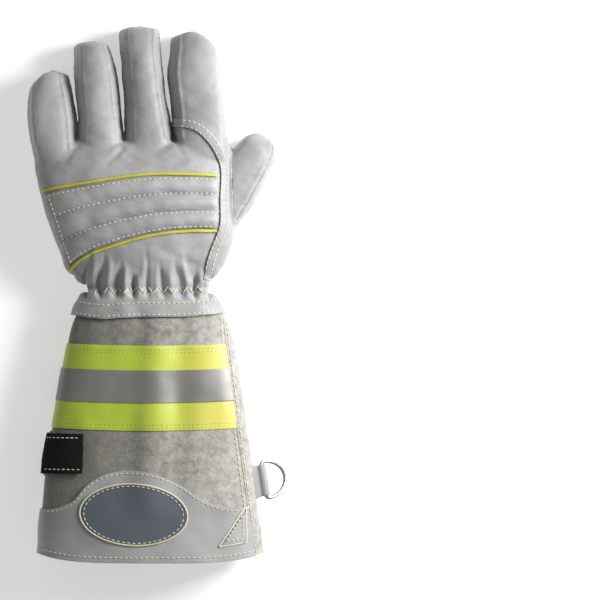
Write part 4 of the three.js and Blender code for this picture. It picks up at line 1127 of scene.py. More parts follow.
def wrist_gathers(co, s):
    """The gathers over the wrist's elastic. Returns their height and how much of them each point has."""
    x, y, z = co.T
    wander = 4.6 * rough(np.stack([x / 2, y, z / 3], axis=-1), 17, 3.1)
    fold = np.abs(np.sin(np.pi * (x + wander + 0.12 * x * smoothstep(y, 2, 26)) / GATHER_PITCH)) ** 0.8
    small = np.abs(np.sin(np.pi * (x * 2.3 + 2 * wander) / GATHER_PITCH))
    reach = np.maximum(19 + 20 * rough(co * (1, 0.1, 0.1), 7, 2.2), 9)
    gather = smoothstep(y, -10, -2.5) * (1 - smoothstep(y, 3, reach))
    uneven = 1 + 0.9 * rough(np.stack([x, y / 4, z / 4], axis=-1), 13, 6.4)
    calm = 1 - 0.6 * smoothstep(np.abs(x), 38, 46)
    pucker = gather * s["pucker"] * uneven * (fold - 0.62 + 0.2 * (small - 0.6))
    return calm * (pucker - 1.1 * bell(y + 2.0, 2.6)), gather


def relieve_hand(bm, s):
    """Presses the seams, gathers and soft wrinkles into the hand's skin."""
    bm.normal_update()
    ridge = seam_relief(bm, s)
    co = np.array([v.co for v in bm.verts])
    pucker, gather = wrist_gathers(co, s)
    lap = 0.35 * (1 - smoothstep(co[:, 1], -14, -7)) * np.sin(co[:, 0] / 4.1 + 2 * rough(co, 22, 5.0))
    soft = 0.95 * rough(co, 26, 1.0) + 0.5 * rough(co * (1, 1.6, 1), 11, 7.0)
    soft += 0.2 * rough(co * (0.8, 2.4, 1), 5, 9.0)
    move = ridge + pucker + lap + soft * (1 - 0.5 * gather) - creases_at(co)
    for vert, by in zip(bm.verts, move):
        vert.co += vert.normal * float(by)
    soften(bm, 0.4)
    for vert in bm.verts:
        vert.co.z = max(vert.co.z, RESTS)


def creases_at(co):
    """How deep the creases press in the hand's back at some points."""
    depth = np.zeros(len(co))
    above = smoothstep(co[:, 2], 14, 24)
    for row in CREASES:
        start = np.array([row["x0"], row["y0"]])
        step = np.array([row["x1"], row["y1"]]) - start
        along = np.clip((co[:, :2] - start) @ step / (step @ step), 0, 1)
        away = np.linalg.norm(co[:, :2] - start - along[:, None] * step, axis=1)
        depth = np.maximum(depth, row["deep"] * (1 - 0.8 * along) * bell(away, row["wide"]) * above)
    return depth


def palm_seams():
    """The seams on the palm side, as lines in the plane."""
    return [curve_through(points, 60) for points in PALM_SEAMS]


def side_seam_height(y, s):
    """Height of the seam between the back and palm leathers."""
    return smooth(SIDE_SEAM, "z", y / s["hand_length"]) * s["palm_depth"]


def cut_along(bm, value):
    """Cuts the faces of a mesh along the line where a value is zero."""
    values = dict(zip(bm.verts, value(np.array([v.co for v in bm.verts]))))
    crossed = {}
    for edge in bm.edges:
        a, b = (values[v] for v in edge.verts)
        if a * b < 0:
            crossed[edge] = min(0.98, max(0.02, a / (a - b)))
    if not crossed:
        return
    made = bmesh.ops.bisect_edges(bm, edges=list(crossed), cuts=1, edge_percents=crossed)["geom_split"]
    bmesh.ops.connect_verts(bm, verts=[item for item in made if isinstance(item, bmesh.types.BMVert)])


def side_of_line(points, line):
    """Signed distance of points from a line in the plane, positive on its right when it runs down."""
    steps = np.diff(line, axis=0)
    best = np.full(len(points), 1e9)
    signed = np.zeros(len(points))
    for start, step in zip(line, steps):
        from_start = points[:, :2] - start
        t = np.clip(from_start @ step / (step @ step), 0, 1)
        away = from_start - t[:, None] * step
        distance = np.hypot(away[:, 0], away[:, 1])
        cross = step[0] * from_start[:, 1] - step[1] * from_start[:, 0]
        closer = distance < best
        best = np.where(closer, distance, best)
        signed = np.where(closer, np.sign(cross) * distance, signed)
    return signed


def panel_names(centres, s):
    """Which leather panel each face of the hand belongs to."""
    x, y, z = centres.T
    names = np.full(len(centres), "palm_leather", object)
    welt = side_of_line(centres, parting_line(s))
    front = y > FRONTS_FROM * s["palm_length"]
    pairs = list(zip(FINGERS, FINGERS[1:]))
    edges = [(finger_middle(a, 0.1, s) + finger_middle(b, 0.1, s)) / 2 for a, b in pairs]
    tip_shift = (y / s["hand_length"] - 0.5) * 4
    for i, finger in enumerate(FINGERS[:3]):
        left = edges[i - 1] if i else -1e3
        names[front & (x > left - tip_shift) & (x <= edges[i] - tip_shift)] = f"finger_front_{finger['name']}"
    names[(z > side_seam_height(y, s)) & (welt < 0)] = "back_leather"
    for (a, b), edge in zip(pairs, edges):
        inside = y > 0.9 * s["palm_length"]
        along = {f["name"]: (y - finger_span(f, s)[0]) / finger_span(f, s)[1] for f in (a, b)}
        inside &= (x > finger_middle(a, along[a["name"]], s)) & (x < finger_middle(b, along[b["name"]], s))
        tip = np.where(x < edge - tip_shift, a["reach"], b["reach"]) * s["hand_length"] - WALL_SHORT
        inside &= (z > wall_height(y, "low", s)) & (z < wall_height(y, "high", s)) & (y < tip)
        names[inside] = f"finger_wall_{a['name']}_{b['name']}"
    thumb = (x > thumb_edge(y, s)) & (y > 20) & (y < 112)
    outer = side_of_line(centres, thumb_seam(s))
    names[thumb & (z > 15) & (outer > 0)] = "thumb_back"
    names[thumb & ((z <= 15) | (outer <= 0))] = "thumb_palm"
    return names


def thumb_edge(y, s):
    """Where the thumb's leather meets the hand's, on the thumb side."""
    return smooth(HAND_SECTIONS, "right", hand_along(y)) * s["palm_breadth"] + 0.3


def parting_line(s):
    """Where the back leather ends towards the index finger: between two fingers, then under the welt."""
    gap = np.array([(0.08, 2.1), (0.092, 1.65), (0.115, 1.32)]) * (s["palm_breadth"], s["palm_length"])
    return np.concatenate([gap, welt_curve(s, 30), [(0.305 * s["palm_breadth"], -LAP - 5)]])


def wall_height(y, column, s):
    """Lower and upper edge of the strips between the fingers."""
    return smooth(WALL_EDGES, column, y / s["hand_length"]) * s["palm_depth"]


def face_middles(bm):
    """The middles of a mesh's faces."""
    return np.array([face.calc_center_median() for face in bm.faces])


def build_hand():
    """Makes the hand's skin, cuts it along its seams and gives each panel its thickness."""
    s = sizes()
    bm = hand_form(s)
    relieve_hand(bm, s)

    def above_lap_edge(points):
        return points[:, 1] - smooth(LAP_EDGE, "y", points[:, 0], "x")

    def past_thumb_edge(points):
        x, y = points[:, 0], points[:, 1]
        return np.where((y > 15) & (y < 118), x - thumb_edge(y, s), -1.0)

    cut_along(bm, above_lap_edge)
    below = [face for face, up in zip(bm.faces, above_lap_edge(face_middles(bm))) if up < 0]
    bmesh.ops.delete(bm, geom=below, context="FACES")
    cut_along(bm, lambda p: p[:, 2] - side_seam_height(p[:, 1], s))
    cut_along(bm, lambda p: side_of_line(p, parting_line(s)))
    cut_along(bm, lambda p: p[:, 1] - FRONTS_FROM * s["palm_length"])
    cut_along(bm, past_thumb_edge)
    names = panel_names(face_middles(bm), s)
    panels = {name: number for number, name in enumerate(sorted(set(names)))}
    for face, name in zip(bm.faces, names):
        face.material_index = panels[name]
    made = []
    for name, number in panels.items():
        panel = bm.copy()
        away = [face for face in panel.faces if face.material_index != number]
        bmesh.ops.delete(panel, geom=away, context="FACES")
        for face in panel.faces:
            face.material_index = 0
        walls = [("SOLIDIFY", {"thickness": s["leather"] * MM, "offset": -1, "use_even_offset": False})]
        made.append(finish_piece(panel, f"{name}_skin", material("Grain leather"), [name], modifiers=walls))
    bm.free()
    return made


def pad_lines(s):
    """The knuckle pad's lower and upper edges, as lines in the plane."""
    edges = []
    for edge in ("low", "high"):
        points = [(r[f"{edge}_x"] * s["palm_breadth"], r[f"{edge}_y"] * s["palm_length"]) for r in PAD_EDGES]
        edges.append(curve_through(points, 120))
    return edges


def pad_point(low, high, u, v):
    """A place on the knuckle pad in the plane, u across the hand and v from the lower edge to the upper."""
    at = np.clip(u, 0, 1) * (len(low) - 1)
    i = np.minimum(at.astype(int), len(low) - 2)
    t = (at - i)[:, None]
    a = low[i] * (1 - t) + low[i + 1] * t
    b = high[i] * (1 - t) + high[i + 1] * t
    return a * (1 - v)[:, None] + b * v[:, None]


def build_knuckle_pad(hand):
    """The quilted pad over the knuckles, swollen between its stitched lines."""
    s = sizes()
    low, high = pad_lines(s)

    def place(u, v):
        flat = pad_point(low, high, 0.004 + 0.99 * u, 0.045 + 0.91 * v)
        swell = np.abs(np.sin(PAD_CHANNELS * np.pi * v)) ** 0.7
        ends = np.clip(np.minimum(u, 1 - u) / 0.03, 0, 1) ** 0.5
        dimple = rough(np.column_stack([flat, v]), 9, 4.0)
        lift = 0.5 + (0.6 + 3.5 * swell) * (0.35 + 0.65 * ends) + 0.45 * dimple * swell
        return drape_grid(hand, flat, lift)

    bm = grid_sheet(150, 84, place, 10)
    soften(bm, 0.4, 2)
    leather = material("Grain leather")
    pad = finish_piece(bm, "knuckle_pad_quilt", leather, ["knuckle_pad"], modifiers=wall(1.2))
    return pad


def build_piping(hand):
    """The two bright cords above and below the knuckle pad."""
    low, high = pad_lines(sizes())
    for name, line in (("piping_lower", low), ("piping_upper", high)):
        bm = bmesh.new()
        places, normals = drape(hand, line[1:-1], 0.9)
        tube(bm, places, normals, 1.05)
        finish_piece(bm, f"{name}_cord", material("Piping cloth"), [name])


def strip_along(tree, line, width, lift):
    """A flat strip of leather laid along a line on a surface."""
    side = sideways(line)
    last = len(line) - 1

    def place(u, v):
        i = np.rint(u * last).astype(int)
        ending = np.clip((1 - u) / 0.1, 0, 1)
        flat = line[i] + side[i] * ((v - 0.5) * width * (0.6 + 0.4 * ending))[:, None]
        crown = lift * (0.5 + 0.5 * ending) + 0.25 * np.sin(np.pi * v)
        return drape_grid(tree, flat, crown)

    return grid_sheet(last, 8, place, 15)


def build_welt(hand):
    """The doubled strip round the index finger's root."""
    bm = strip_along(hand, welt_curve(sizes(), 130), WELT_WIDTH, 1.15)
    leather = material("Grain leather")
    return finish_piece(bm, "index_welt_strip", leather, ["index_welt"], modifiers=wall(0.9))


# The cuff

CUFF_TRIM = 8.4  # how much shorter the suede is than the way from the wrist line to the hem
CUFF_ROWS = 150  # faces of the suede from the wrist to the hem
TAPE_TOP = -39.4
TAPE_WIDTH = 57
TAPE_END = 0.592  # how far round the cuff the tape ends
HEM_ROW = -150.0  # the height at which the hem panel's columns are laid out
BY_THE_SEAM = 0.15  # the share of those columns that leans over to follow the seam
CLEAR_OF_SEAM = 0.3
OVAL = {"x": -8.9, "y": -152.4, "long": 36.0, "short": 20.5, "tilt": math.radians(-3)}
CORNER = [(66.0, -146.6), (66.6, -171.0), (48.0, -174.0)]
GUARD = {"top": -20.4, "half": 42.6, "round": 43, "drop": 49.5}
STRAP_Y = -111.7
BACKING_WIDTH = 30.0
BAND_WIDTH = 26.5
LOOP_PATCH = {"turn": 0.541, "span": 0.045, "top": -49.8, "drop": 32.4}
TAB_OUTLINE = [
    {"x": -25.2, "above": 8.0, "below": 7.0},
    {"x": -24.6, "above": 14.5, "below": 13.2},
    {"x": -23.0, "above": 18.4, "below": 17.4},
    {"x": -19.5, "above": 21.0, "below": 20.2},
    {"x": -14.0, "above": 21.8, "below": 21.1},
    {"x": 15.2, "above": 21.1, "below": 22.9},
    {"x": 38.0, "above": 20.7, "below": 24.6},
    {"x": 47.1, "above": 19.4, "below": 27.0},
    {"x": 51.0, "above": 13.6, "below": 27.0},
    {"x": 58.0, "above": 10.6, "below": 19.4},
]


def cuff_relief(turn, y, x):
    """Soft dents and folds of the suede, which everything on the cuff follows."""
    points = np.column_stack([x, y, np.sin(2 * np.pi * turn) * 30])
    gathers = 0.35 * smoothstep(y, -52, -24) * np.sin(x / 3.4 + 3 * rough(points, 24, 2.0))
    over = np.clip(np.sin(2 * np.pi * turn) + 0.3, 0, 1)
    middle_fold = 2.6 * bell(x - 7 - 0.05 * y, 10) * smoothstep(y, -172, -130)
    side_fold = -1.4 * bell(x - 25 - 0.03 * y, 8) * smoothstep(y, -165, -120)
    soft = 1.0 * rough(points, 34, 8.0) + 0.4 * rough(points, 13, 6.0)
    return (gathers + middle_fold + side_fold) * over + soft


def cuff_limits(y, s):
    """The cuff's section at a place: its middle, half breadth, middle height and half depth."""
    along = -y / s["cuff_length"]
    left, right = (smooth(CUFF_SECTIONS, c, along) * s["hem_breadth"] for c in ("left", "right"))
    low, high = (smooth(CUFF_SECTIONS, c, along) * s["hem_depth"] for c in ("low", "high"))
    return (left + right) / 2, (right - left) / 2, (low + high) / 2, (high - low) / 2


def cuff_place(turn, y, lift, s):
    """Points on the cuff, from the thumb side over the back and home under the palm side."""
    turn, y = np.asarray(turn, float), np.asarray(y, float)
    middle, half, height, depth = cuff_limits(y, s)
    across, up = round_section(turn, BACK_POWER, PALM_POWER)
    x = middle + half * across
    grown = lift + cuff_relief(turn, y, x) * smoothstep(-y, 12, 30) * np.where(up < -0.3, 0.25, 1)
    near_hem = smoothstep(-y / s["cuff_length"], FLUTE_START, 1)
    flute = sum(f["rise"] * bell(x / s["hem_breadth"] - f["across"], FLUTE_WIDE) for f in FLUTES)
    rise = flute * near_hem * np.clip(-1.6 * up, 0, 1)
    z = np.maximum(height + (depth + grown) * up + rise, 0.1)
    return middle + (half + grown) * across, y + hem_bow(across, y, s), z


def hem_bow(across, y, s):
    """How far up the hem's sides curve at a place."""
    return HEM_BOW * across**4 * smoothstep(-y / s["cuff_length"], HEM_BOW_START, 1)


def spot(x, y, s):
    """The turn and the y that put a point of the cuff's back at a place seen from above."""
    middle, half, _, _ = cuff_limits(y, s)
    flat = y - hem_bow(np.clip((x - middle) / half, -1, 1), y, s)
    return back_turn(x, flat, s), flat


def bowed(x, y, s):
    """A line across the cuff, bent as the hem is."""
    middle, half, _, _ = cuff_limits(y, s)
    return np.stack([x, y + hem_bow(np.clip((x - middle) / half, -1, 1), y, s)], axis=-1)


def back_turn(x, y, s):
    """How far round the cuff a place on its back lies."""
    middle, half, _, _ = cuff_limits(y, s)
    return np.arccos(np.clip((x - middle) / half, -1, 1)) / (2 * np.pi)


def palm_turn(x, y, s):
    """How far round the cuff a place on its palm side lies."""
    return 1 - back_turn(x, y, s)


def seam_x(y, s):
    """The seam between the cuff's back and its thumb side, seen from above."""
    return 47.6 + 24 * (-y / s["cuff_length"])


def cuff_sheet(name, look, node, grid, where, lift, thickness, edge=0.3, raise_by=None):
    """A piece sewn on the cuff. where gives its turn and y from a place on its grid."""
    s = sizes()

    def place(u, v):
        turn, y = where(u, v, s)
        extra = raise_by(u, v) if raise_by else 0
        return cuff_place(turn, y, lift + extra, s)

    bm = grid_sheet(*grid, place, 24, 0.0005)
    return finish_piece(bm, name, material(look), [node], modifiers=wall(thickness, edge))


def build_cuff():
    """The suede cuff: its back from seam to seam, and its palm side."""
    def seam_turn(v, s):
        y = TOP_OF_CUFF - v * (s["cuff_length"] - CUFF_TRIM)
        return back_turn(seam_x(y, s), y, s), y

    def back(u, v, s):
        start, y = seam_turn(v, s)
        return start + u * (0.5 - start), y

    def palm(u, v, s):
        seam, y = seam_turn(v, s)
        return 0.5 + u * (0.5 + seam - 0.0015), y

    coarse = 1
    return [
        cuff_sheet(
            f"{node}_suede", "Suede", node, (columns // coarse, CUFF_ROWS // coarse), where,
            lift=0, thickness=1.7)
        for node, columns, where in (("cuff_back", 130, back), ("cuff_palm", 170, palm))
    ]


def tape_y(share, x):
    """Where a line across the tape runs, which sags a little in the middle."""
    return TAPE_TOP - TAPE_WIDTH * share + 1.7 * (x / 60) ** 2


def build_tape():
    """The fluorescent tape with the silver one sewn over its middle."""
    def band_of(top, bottom):
        def where(u, v, s):
            share = top + v * (bottom - top)
            flat = tape_y(share, 0)
            start = back_turn(seam_x(flat, s) - 0.4, flat, s)
            turn = start + u * (TAPE_END - start)
            x = cuff_limits(flat, s)[1] * np.cos(2 * np.pi * turn)
            return turn, tape_y(share, x)
        return where

    yellow = cuff_sheet(
        "tape_yellow_cloth", "Yellow tape", "tape_yellow", (200, 50), band_of(0, 1),
        lift=0.75, thickness=0.6, edge=0.2)
    cuff_sheet(
        "tape_silver_cloth", "Silver tape", "tape_silver", (200, 24), band_of(0.29, 0.675),
        lift=1.25, thickness=0.45, edge=0.15)
    return yellow


def hem_top(x, s):
    """The hem panel's upper edge over a place across the hem."""
    return -s["cuff_length"] + smooth(HEM_EDGE, "rise", x / s["hem_breadth"], "x")


def build_hem_panel():
    """The leather panel along the hem, with its hump over the oval."""
    def where(u, v, s):
        low = -s["cuff_length"] + 0.3
        row = np.full_like(u, HEM_ROW)
        reach = back_turn(seam_x(HEM_ROW, s) - CLEAR_OF_SEAM, row, s)
        turn = reach + u * (0.5 - reach)
        middle, half, _, _ = cuff_limits(row, s)
        top = hem_top(middle + half * np.cos(2 * np.pi * turn), s)
        y = low + v * (top - low)
        seam = back_turn(seam_x(y, s) - CLEAR_OF_SEAM, y, s)
        leaning = BY_THE_SEAM * (0.5 - reach)
        from_seam = seam + (turn - reach) * (leaning + reach - seam) / leaning
        return np.where(u < BY_THE_SEAM, from_seam, turn), y

    return cuff_sheet(
        "hem_panel_leather", "Grain leather", "hem_panel", (190, 64), where,
        lift=1.35, thickness=1.1)


def oval_point(share, angle):
    """A place in the oval, a share of the way out from its middle."""
    a = share * OVAL["long"] * np.cos(angle)
    b = share * OVAL["short"] * np.sin(angle)
    c, d = math.cos(OVAL["tilt"]), math.sin(OVAL["tilt"])
    return OVAL["x"] + a * c - b * d, OVAL["y"] + a * d + b * c


def build_oval(hem):
    """The bare oval patch and its raised cream rim."""
    s = sizes()

    def where(u, v, _):
        return spot(*oval_point(v, 2 * np.pi * u), s)

    cuff_sheet(
        "oval_patch_cloth", "Coated cloth", "oval_patch", (110, 26), where,
        lift=2.1, thickness=0.9, edge=0.25)
    bm = bmesh.new()
    angles = np.linspace(0, 2 * np.pi, 150, endpoint=False)
    x, y = oval_point(1.0, angles)
    places, normals = drape(hem, np.stack([x, y], axis=-1), 0.6)
    tube(bm, places, normals, 0.62, 8, closed=True)
    finish_piece(bm, "oval_rim", material("Cream thread"))


def build_corner(hem):
    """The small stitched triangle by the thumb side, with raised edges."""
    s = sizes()
    a, b, c = (np.array(p) for p in CORNER)

    def where(u, v, _):
        base = b[None] * (1 - u)[:, None] + c[None] * u[:, None]
        flat = a[None] * (1 - v)[:, None] + base * v[:, None]
        flat = flat * 0.9 + (a + b + c) / 3 * 0.1
        return spot(flat[:, 0], flat[:, 1], s)

    cuff_sheet(
        "corner_patch_leather", "Grain leather", "corner_patch", (24, 24), where,
        lift=2.0, thickness=0.6, edge=0.2)
    bm = bmesh.new()
    line = np.concatenate([np.linspace(p, q, 30)[:-1] for p, q in ((a, b), (b, c), (c, a))])
    places, normals = drape(hem, line, 0.25)
    tube(bm, places, normals, 0.6, 8, closed=True)
    finish_piece(bm, "corner_patch_edge", material("Cream thread"))


def build_guard():
    """The round guard below the wrist, on the palm side."""
    def where(u, v, s):
        x = GUARD["half"] * np.cos(np.pi * (1 - u))
        low = GUARD["top"] - GUARD["drop"] * np.sqrt(np.maximum(0, 1 - (x / GUARD["round"]) ** 2))
        y = GUARD["top"] + v * (low - GUARD["top"])
        return palm_turn(x, y, s), y

    return cuff_sheet(
        "palm_guard_leather", "Grain leather", "palm_guard", (90, 50), where,
        lift=1.2, thickness=0.9)


def build_strap():
    """The strap: its leather backing, the loop band, the second loop patch and the closing tab."""
    def backing_where(u, v, s):
        y = STRAP_Y + (v - 0.5) * BACKING_WIDTH
        end = palm_turn(np.full_like(y, 60.0), y, s)
        return 0.5 + u * (end - 0.5), y

    def band_where(u, v, s):
        y = STRAP_Y + (v - 0.5) * (BAND_WIDTH + 0.9 * np.sin(u * 610) * np.sin(u * 233 + 1))
        start = back_turn(-41.0 + 0.4 * np.sin(v * 170) * np.sin(v * 73), y, s)
        end = palm_turn(np.full_like(y, 7.0), y, s)
        return start + u * (end - start), y

    def patch_where(u, v, s):
        return LOOP_PATCH["turn"] + u * LOOP_PATCH["span"], LOOP_PATCH["top"] - v * LOOP_PATCH["drop"]

    def fuzz(u, v):
        return 0.25 * np.sin(u * 510 + 3 * np.sin(v * 90)) * np.sin(v * 190 + 2 * np.sin(u * 130))

    cuff_sheet(
        "strap_backing_leather", "Grain leather", "strap_backing", (150, 24), backing_where,
        lift=1.25, thickness=0.9)
    band = cuff_sheet(
        "loop_band_tape", "Loop tape", "loop_band", (190, 38), band_where,
        lift=3.1, thickness=1.5, edge=0.5, raise_by=fuzz)
    cuff_sheet(
        "loop_patch_tape", "Loop tape", "loop_patch", (30, 34), patch_where,
        lift=3.0, thickness=1.4, edge=0.5, raise_by=fuzz)
    return band, build_tab()


def build_tab():
    """The closing tab, flat on the floor."""
    bm = bmesh.new()
    xs = np.array([row["x"] for row in TAB_OUTLINE])

    def place(u, v):
        x = xs[0] + (xs[-1] - xs[0]) * (u - 0.12 * np.sin(2 * np.pi * u) / 2)
        above, below = (np.interp(x, xs, [row[c] for row in TAB_OUTLINE]) for c in ("above", "below"))
        return x, STRAP_Y - below + v * (above + below), np.full_like(x, RESTS)

    mapped_grid(bm, 110, 60, place)
    bm.normal_update()
    if sum(face.normal.z for face in bm.faces) > 0:
        bmesh.ops.reverse_faces(bm, faces=bm.faces)
    leather = material("Grain leather")
    return finish_piece(bm, "closure_tab_leather", leather, ["closure_tab"], modifiers=wall(2.1, 0.6))


# The ring

RING = {"wire": 1.3, "half": 12.4, "depth": 17.5, "corner": 1.9, "tilt": 34, "turn": 9}
LOOP_ROUND = 2.45  # from the bar's middle to the middle of the leather folded round it
LOOP_STEPS = 59


def ring_frame():
    """Turns the ring's own frame, with its bar along Y, to its place at the cuff's side."""
    hinge = next(j for j in frame["record"]["behaviour"]["joints"] if j["name"] == "ring_turn")
    place = Vector(hinge["pos_m"]) / MM - SHIFT
    return Matrix.Translation(place) @ Matrix.Rotation(math.radians(RING["turn"]), 4, "Z")


def build_ring():
    """The D-ring, bent from round wire."""
    bm = bmesh.new()
    straight = RING["half"] - RING["corner"]
    path = [Vector((0, y, 0)) for y in np.linspace(-straight, straight, 12)]
    arc = [(RING["corner"] * 0.45, RING["half"] - 0.75), (RING["corner"] * 1.1, RING["half"] - 0.1)]
    path += [Vector((x, y, 0)) for x, y in arc]
    for turn in np.linspace(math.pi / 2 - 0.12, -math.pi / 2 + 0.12, 46):
        reach = RING["depth"] - RING["corner"]
        path.append(Vector((RING["corner"] + reach * math.cos(turn), RING["half"] * math.sin(turn), 0)))
    path += [Vector((x, -y, 0)) for x, y in reversed(arc)]
    tube(bm, path, [Vector((0, 0, 1))] * len(path), RING["wire"], 16, closed=True)
    hanging = ring_frame() @ Matrix.Rotation(math.radians(RING["tilt"]), 4, "Y")
    bmesh.ops.transform(bm, matrix=hanging, verts=bm.verts)
    finish_piece(bm, "d_ring_wire", material("Bent steel"), ["d_ring"], body="ring")


def build_ring_loop():
    """The leather that is folded round the ring's bar."""
    bm = bmesh.new()
    line = [(-10.5, 3.6), (-7.0, 3.0)]
    for turn in np.radians(np.linspace(128, -142, 26)):
        line.append((LOOP_ROUND * math.cos(turn), LOOP_ROUND * math.sin(turn)))
    line += [(-7.0, 0.9), (-10.5, 1.4)]
    flat = curve_through(line, LOOP_STEPS + 1)

    def place(u, v):
        i = np.rint(u * LOOP_STEPS).astype(int)
        return flat[i, 0], (v - 0.5) * (21 + 4.5 * smoothstep(-flat[i, 0], 3, 10)), flat[i, 1]

    mapped_grid(bm, LOOP_STEPS, 24, place)
    bm.normal_update()
    nose = max(bm.faces, key=lambda face: face.calc_center_median().x)
    if nose.normal.x < 0:
        bmesh.ops.reverse_faces(bm, faces=bm.faces)
    bmesh.ops.transform(bm, matrix=ring_frame(), verts=bm.verts)
    folded = [("SOLIDIFY", {"thickness": 1.3 * MM, "offset": 0})]
    finish_piece(bm, "ring_loop_leather", material("Grain leather"), ["ring_loop"], modifiers=folded)


# Stitches

ZIGZAG = {"length": 6.2, "gap": 0.3, "radius": 0.46, "lift": 0.45}
TAPE_THREAD = {"length": 2.0, "gap": 1.0, "radius": 0.27, "lift": 0.05}
TAB_BOX = [(-19, -127), (-19, -97), (41, -97.4), (41, -128.5), (-19, -127)]
TAB_ENDS = [[(41, -128.5), (56, -127)], [(41, -97.4), (56, -101)]]


def sewn(bm, tree, line, count=None, from_below=False, length=None, gap=1.0, radius=None, lift=0.12):
    """Sews a line of stitches onto a surface."""
    s = sizes()
    line = np.asarray(line, float)
    places, normals = drape(tree, line if count is None else curve_through(line, count), lift, from_below)
    for place in places:
        place.z = max(place.z, RESTS - 0.06)
    stitch(bm, places, normals, length or s["stitch"], gap, radius or s["thread"])


def offset_line(line, by):
    """A line in the plane moved sideways, to its right when it runs down."""
    return line + sideways(line) * by


def build_hand_stitches(hand, pad, welt):
    """Cream stitches on the hand: pad lines, welt, lap, wrist and palm seams."""
    s = sizes()
    bm = bmesh.new()
    low, high = pad_lines(s)
    u = np.linspace(0.02, 0.98, 160)
    for share in (0.075, 1 / 3, 2 / 3, 0.925):
        sewn(bm, pad, pad_point(low, high, u, np.full_like(u, share)), lift=0.1)
    v = np.linspace(0.06, 0.94, 60)
    sewn(bm, pad, pad_point(low, high, np.full_like(v, 0.03), v), lift=0.1)
    middle = welt_curve(s, 130)
    for by in (-0.33, 0.33):
        sewn(bm, welt, offset_line(middle, by * WELT_WIDTH), lift=0.1)
    x = np.linspace(-49, 50, 160)
    for height in (1.7, 9.3):
        line = np.stack([x, smooth(LAP_EDGE, "y", x, "x") + height], axis=-1)
        sewn(bm, hand, line, gap=0.9)
        sewn(bm, hand, line * (0.9, 1), from_below=True, gap=0.9)
    for below in (False, True):
        x = np.linspace(-36, 37, 23)
        zigzag = np.stack([x, np.where(np.arange(len(x)) % 2, 0.5, -4.9)], axis=-1)
        for a, b in zip(zigzag, zigzag[1:]):
            sewn(bm, hand, np.linspace(a, b, 6), from_below=below, **ZIGZAG)
    for line in palm_seams():
        sewn(bm, hand, offset_line(line, 2.2), 140, from_below=True)
    finish_piece(bm, "hand_stitches", material("Cream thread"))


def build_cuff_stitches(cuff, hem, band, guard, tab):
    """Cream stitches on the cuff: hem panel, oval, side seam, band, corner, guard and tab."""
    s = sizes()
    bm = bmesh.new()
    x = np.linspace(-68, 64, 200)
    top = hem_top(x, s)
    sewn(bm, hem, bowed(x, top - 1.8, s), lift=0.1)
    x = np.linspace(-73, 69, 210)
    sewn(bm, hem, bowed(x, np.full_like(x, -s["cuff_length"] + 3.9), s), lift=0.1)
    angles = np.linspace(0, 2 * np.pi, 240)
    sewn(bm, hem, np.stack(oval_point(0.925, angles), axis=-1), lift=0.95)
    y = np.linspace(-24, -s["cuff_length"] + 3, 160)
    for by in (-1.9, 1.9):
        sewn(bm, cuff, np.stack([seam_x(y, s) + by, y], axis=-1), lift=0.25)
    for share in (0.1, 0.9):
        edge = STRAP_Y + (share - 0.5) * BAND_WIDTH
        sewn(bm, band, np.linspace((-69, edge), (-44.5, edge), 40), lift=0.1)
    corner = np.array(CORNER) * 0.62 + np.array(CORNER).mean(axis=0) * 0.38
    for a, b in zip(corner, np.roll(corner, -1, axis=0)):
        sewn(bm, hem, np.linspace(a, b, 20), lift=0.75, length=2.0, gap=1.0)
    t = np.linspace(0.03, 0.97, 120) * np.pi
    sewn(bm, guard, np.stack([-40.8 * np.cos(t), GUARD["top"] - 47.3 * np.sin(t)], axis=-1), from_below=True)
    for line, count in ((TAB_BOX, 40), *((way, 12) for way in TAB_ENDS)):
        for a, b in zip(line, line[1:]):
            sewn(bm, tab, np.linspace(a, b, count), from_below=True, lift=0.05)
    finish_piece(bm, "cuff_stitches", material("Cream thread"))


def build_tape_stitches(tape):
    """Olive stitches along the edges of the yellow tape."""
    bm = bmesh.new()
    x = np.linspace(-58, 53, 200)
    for share in (0.05, 0.085, 0.93, 0.965):
        line = np.stack([x * (1 + 0.08 * share), tape_y(share, x)], axis=-1)
        sewn(bm, tape, line, **TAPE_THREAD)
    finish_piece(bm, "tape_stitches", material("Olive thread"))


# The stage

PHOTO_SCALE = 0.6733  # millimetres of the glove in each pixel of the photograph
PHOTO_ORIGIN = (148.0, 286.9)  # the pixel of the wrist's middle
PHOTO_MIDDLE = 300.0
LENS = 300.0
SENSOR = 36.0
CAMERA_UP = 0.025  # metres above the floor of the level that the picture's scale holds for
LIGHTS = [
    {"name": "key", "place": (0.62, 0.22, 0.42), "size": 0.34, "power": 10.4},
    {"name": "fill", "place": (-1.2, -0.4, 1.3), "size": 1.6, "power": 2.0},
]
SKY = 0.27


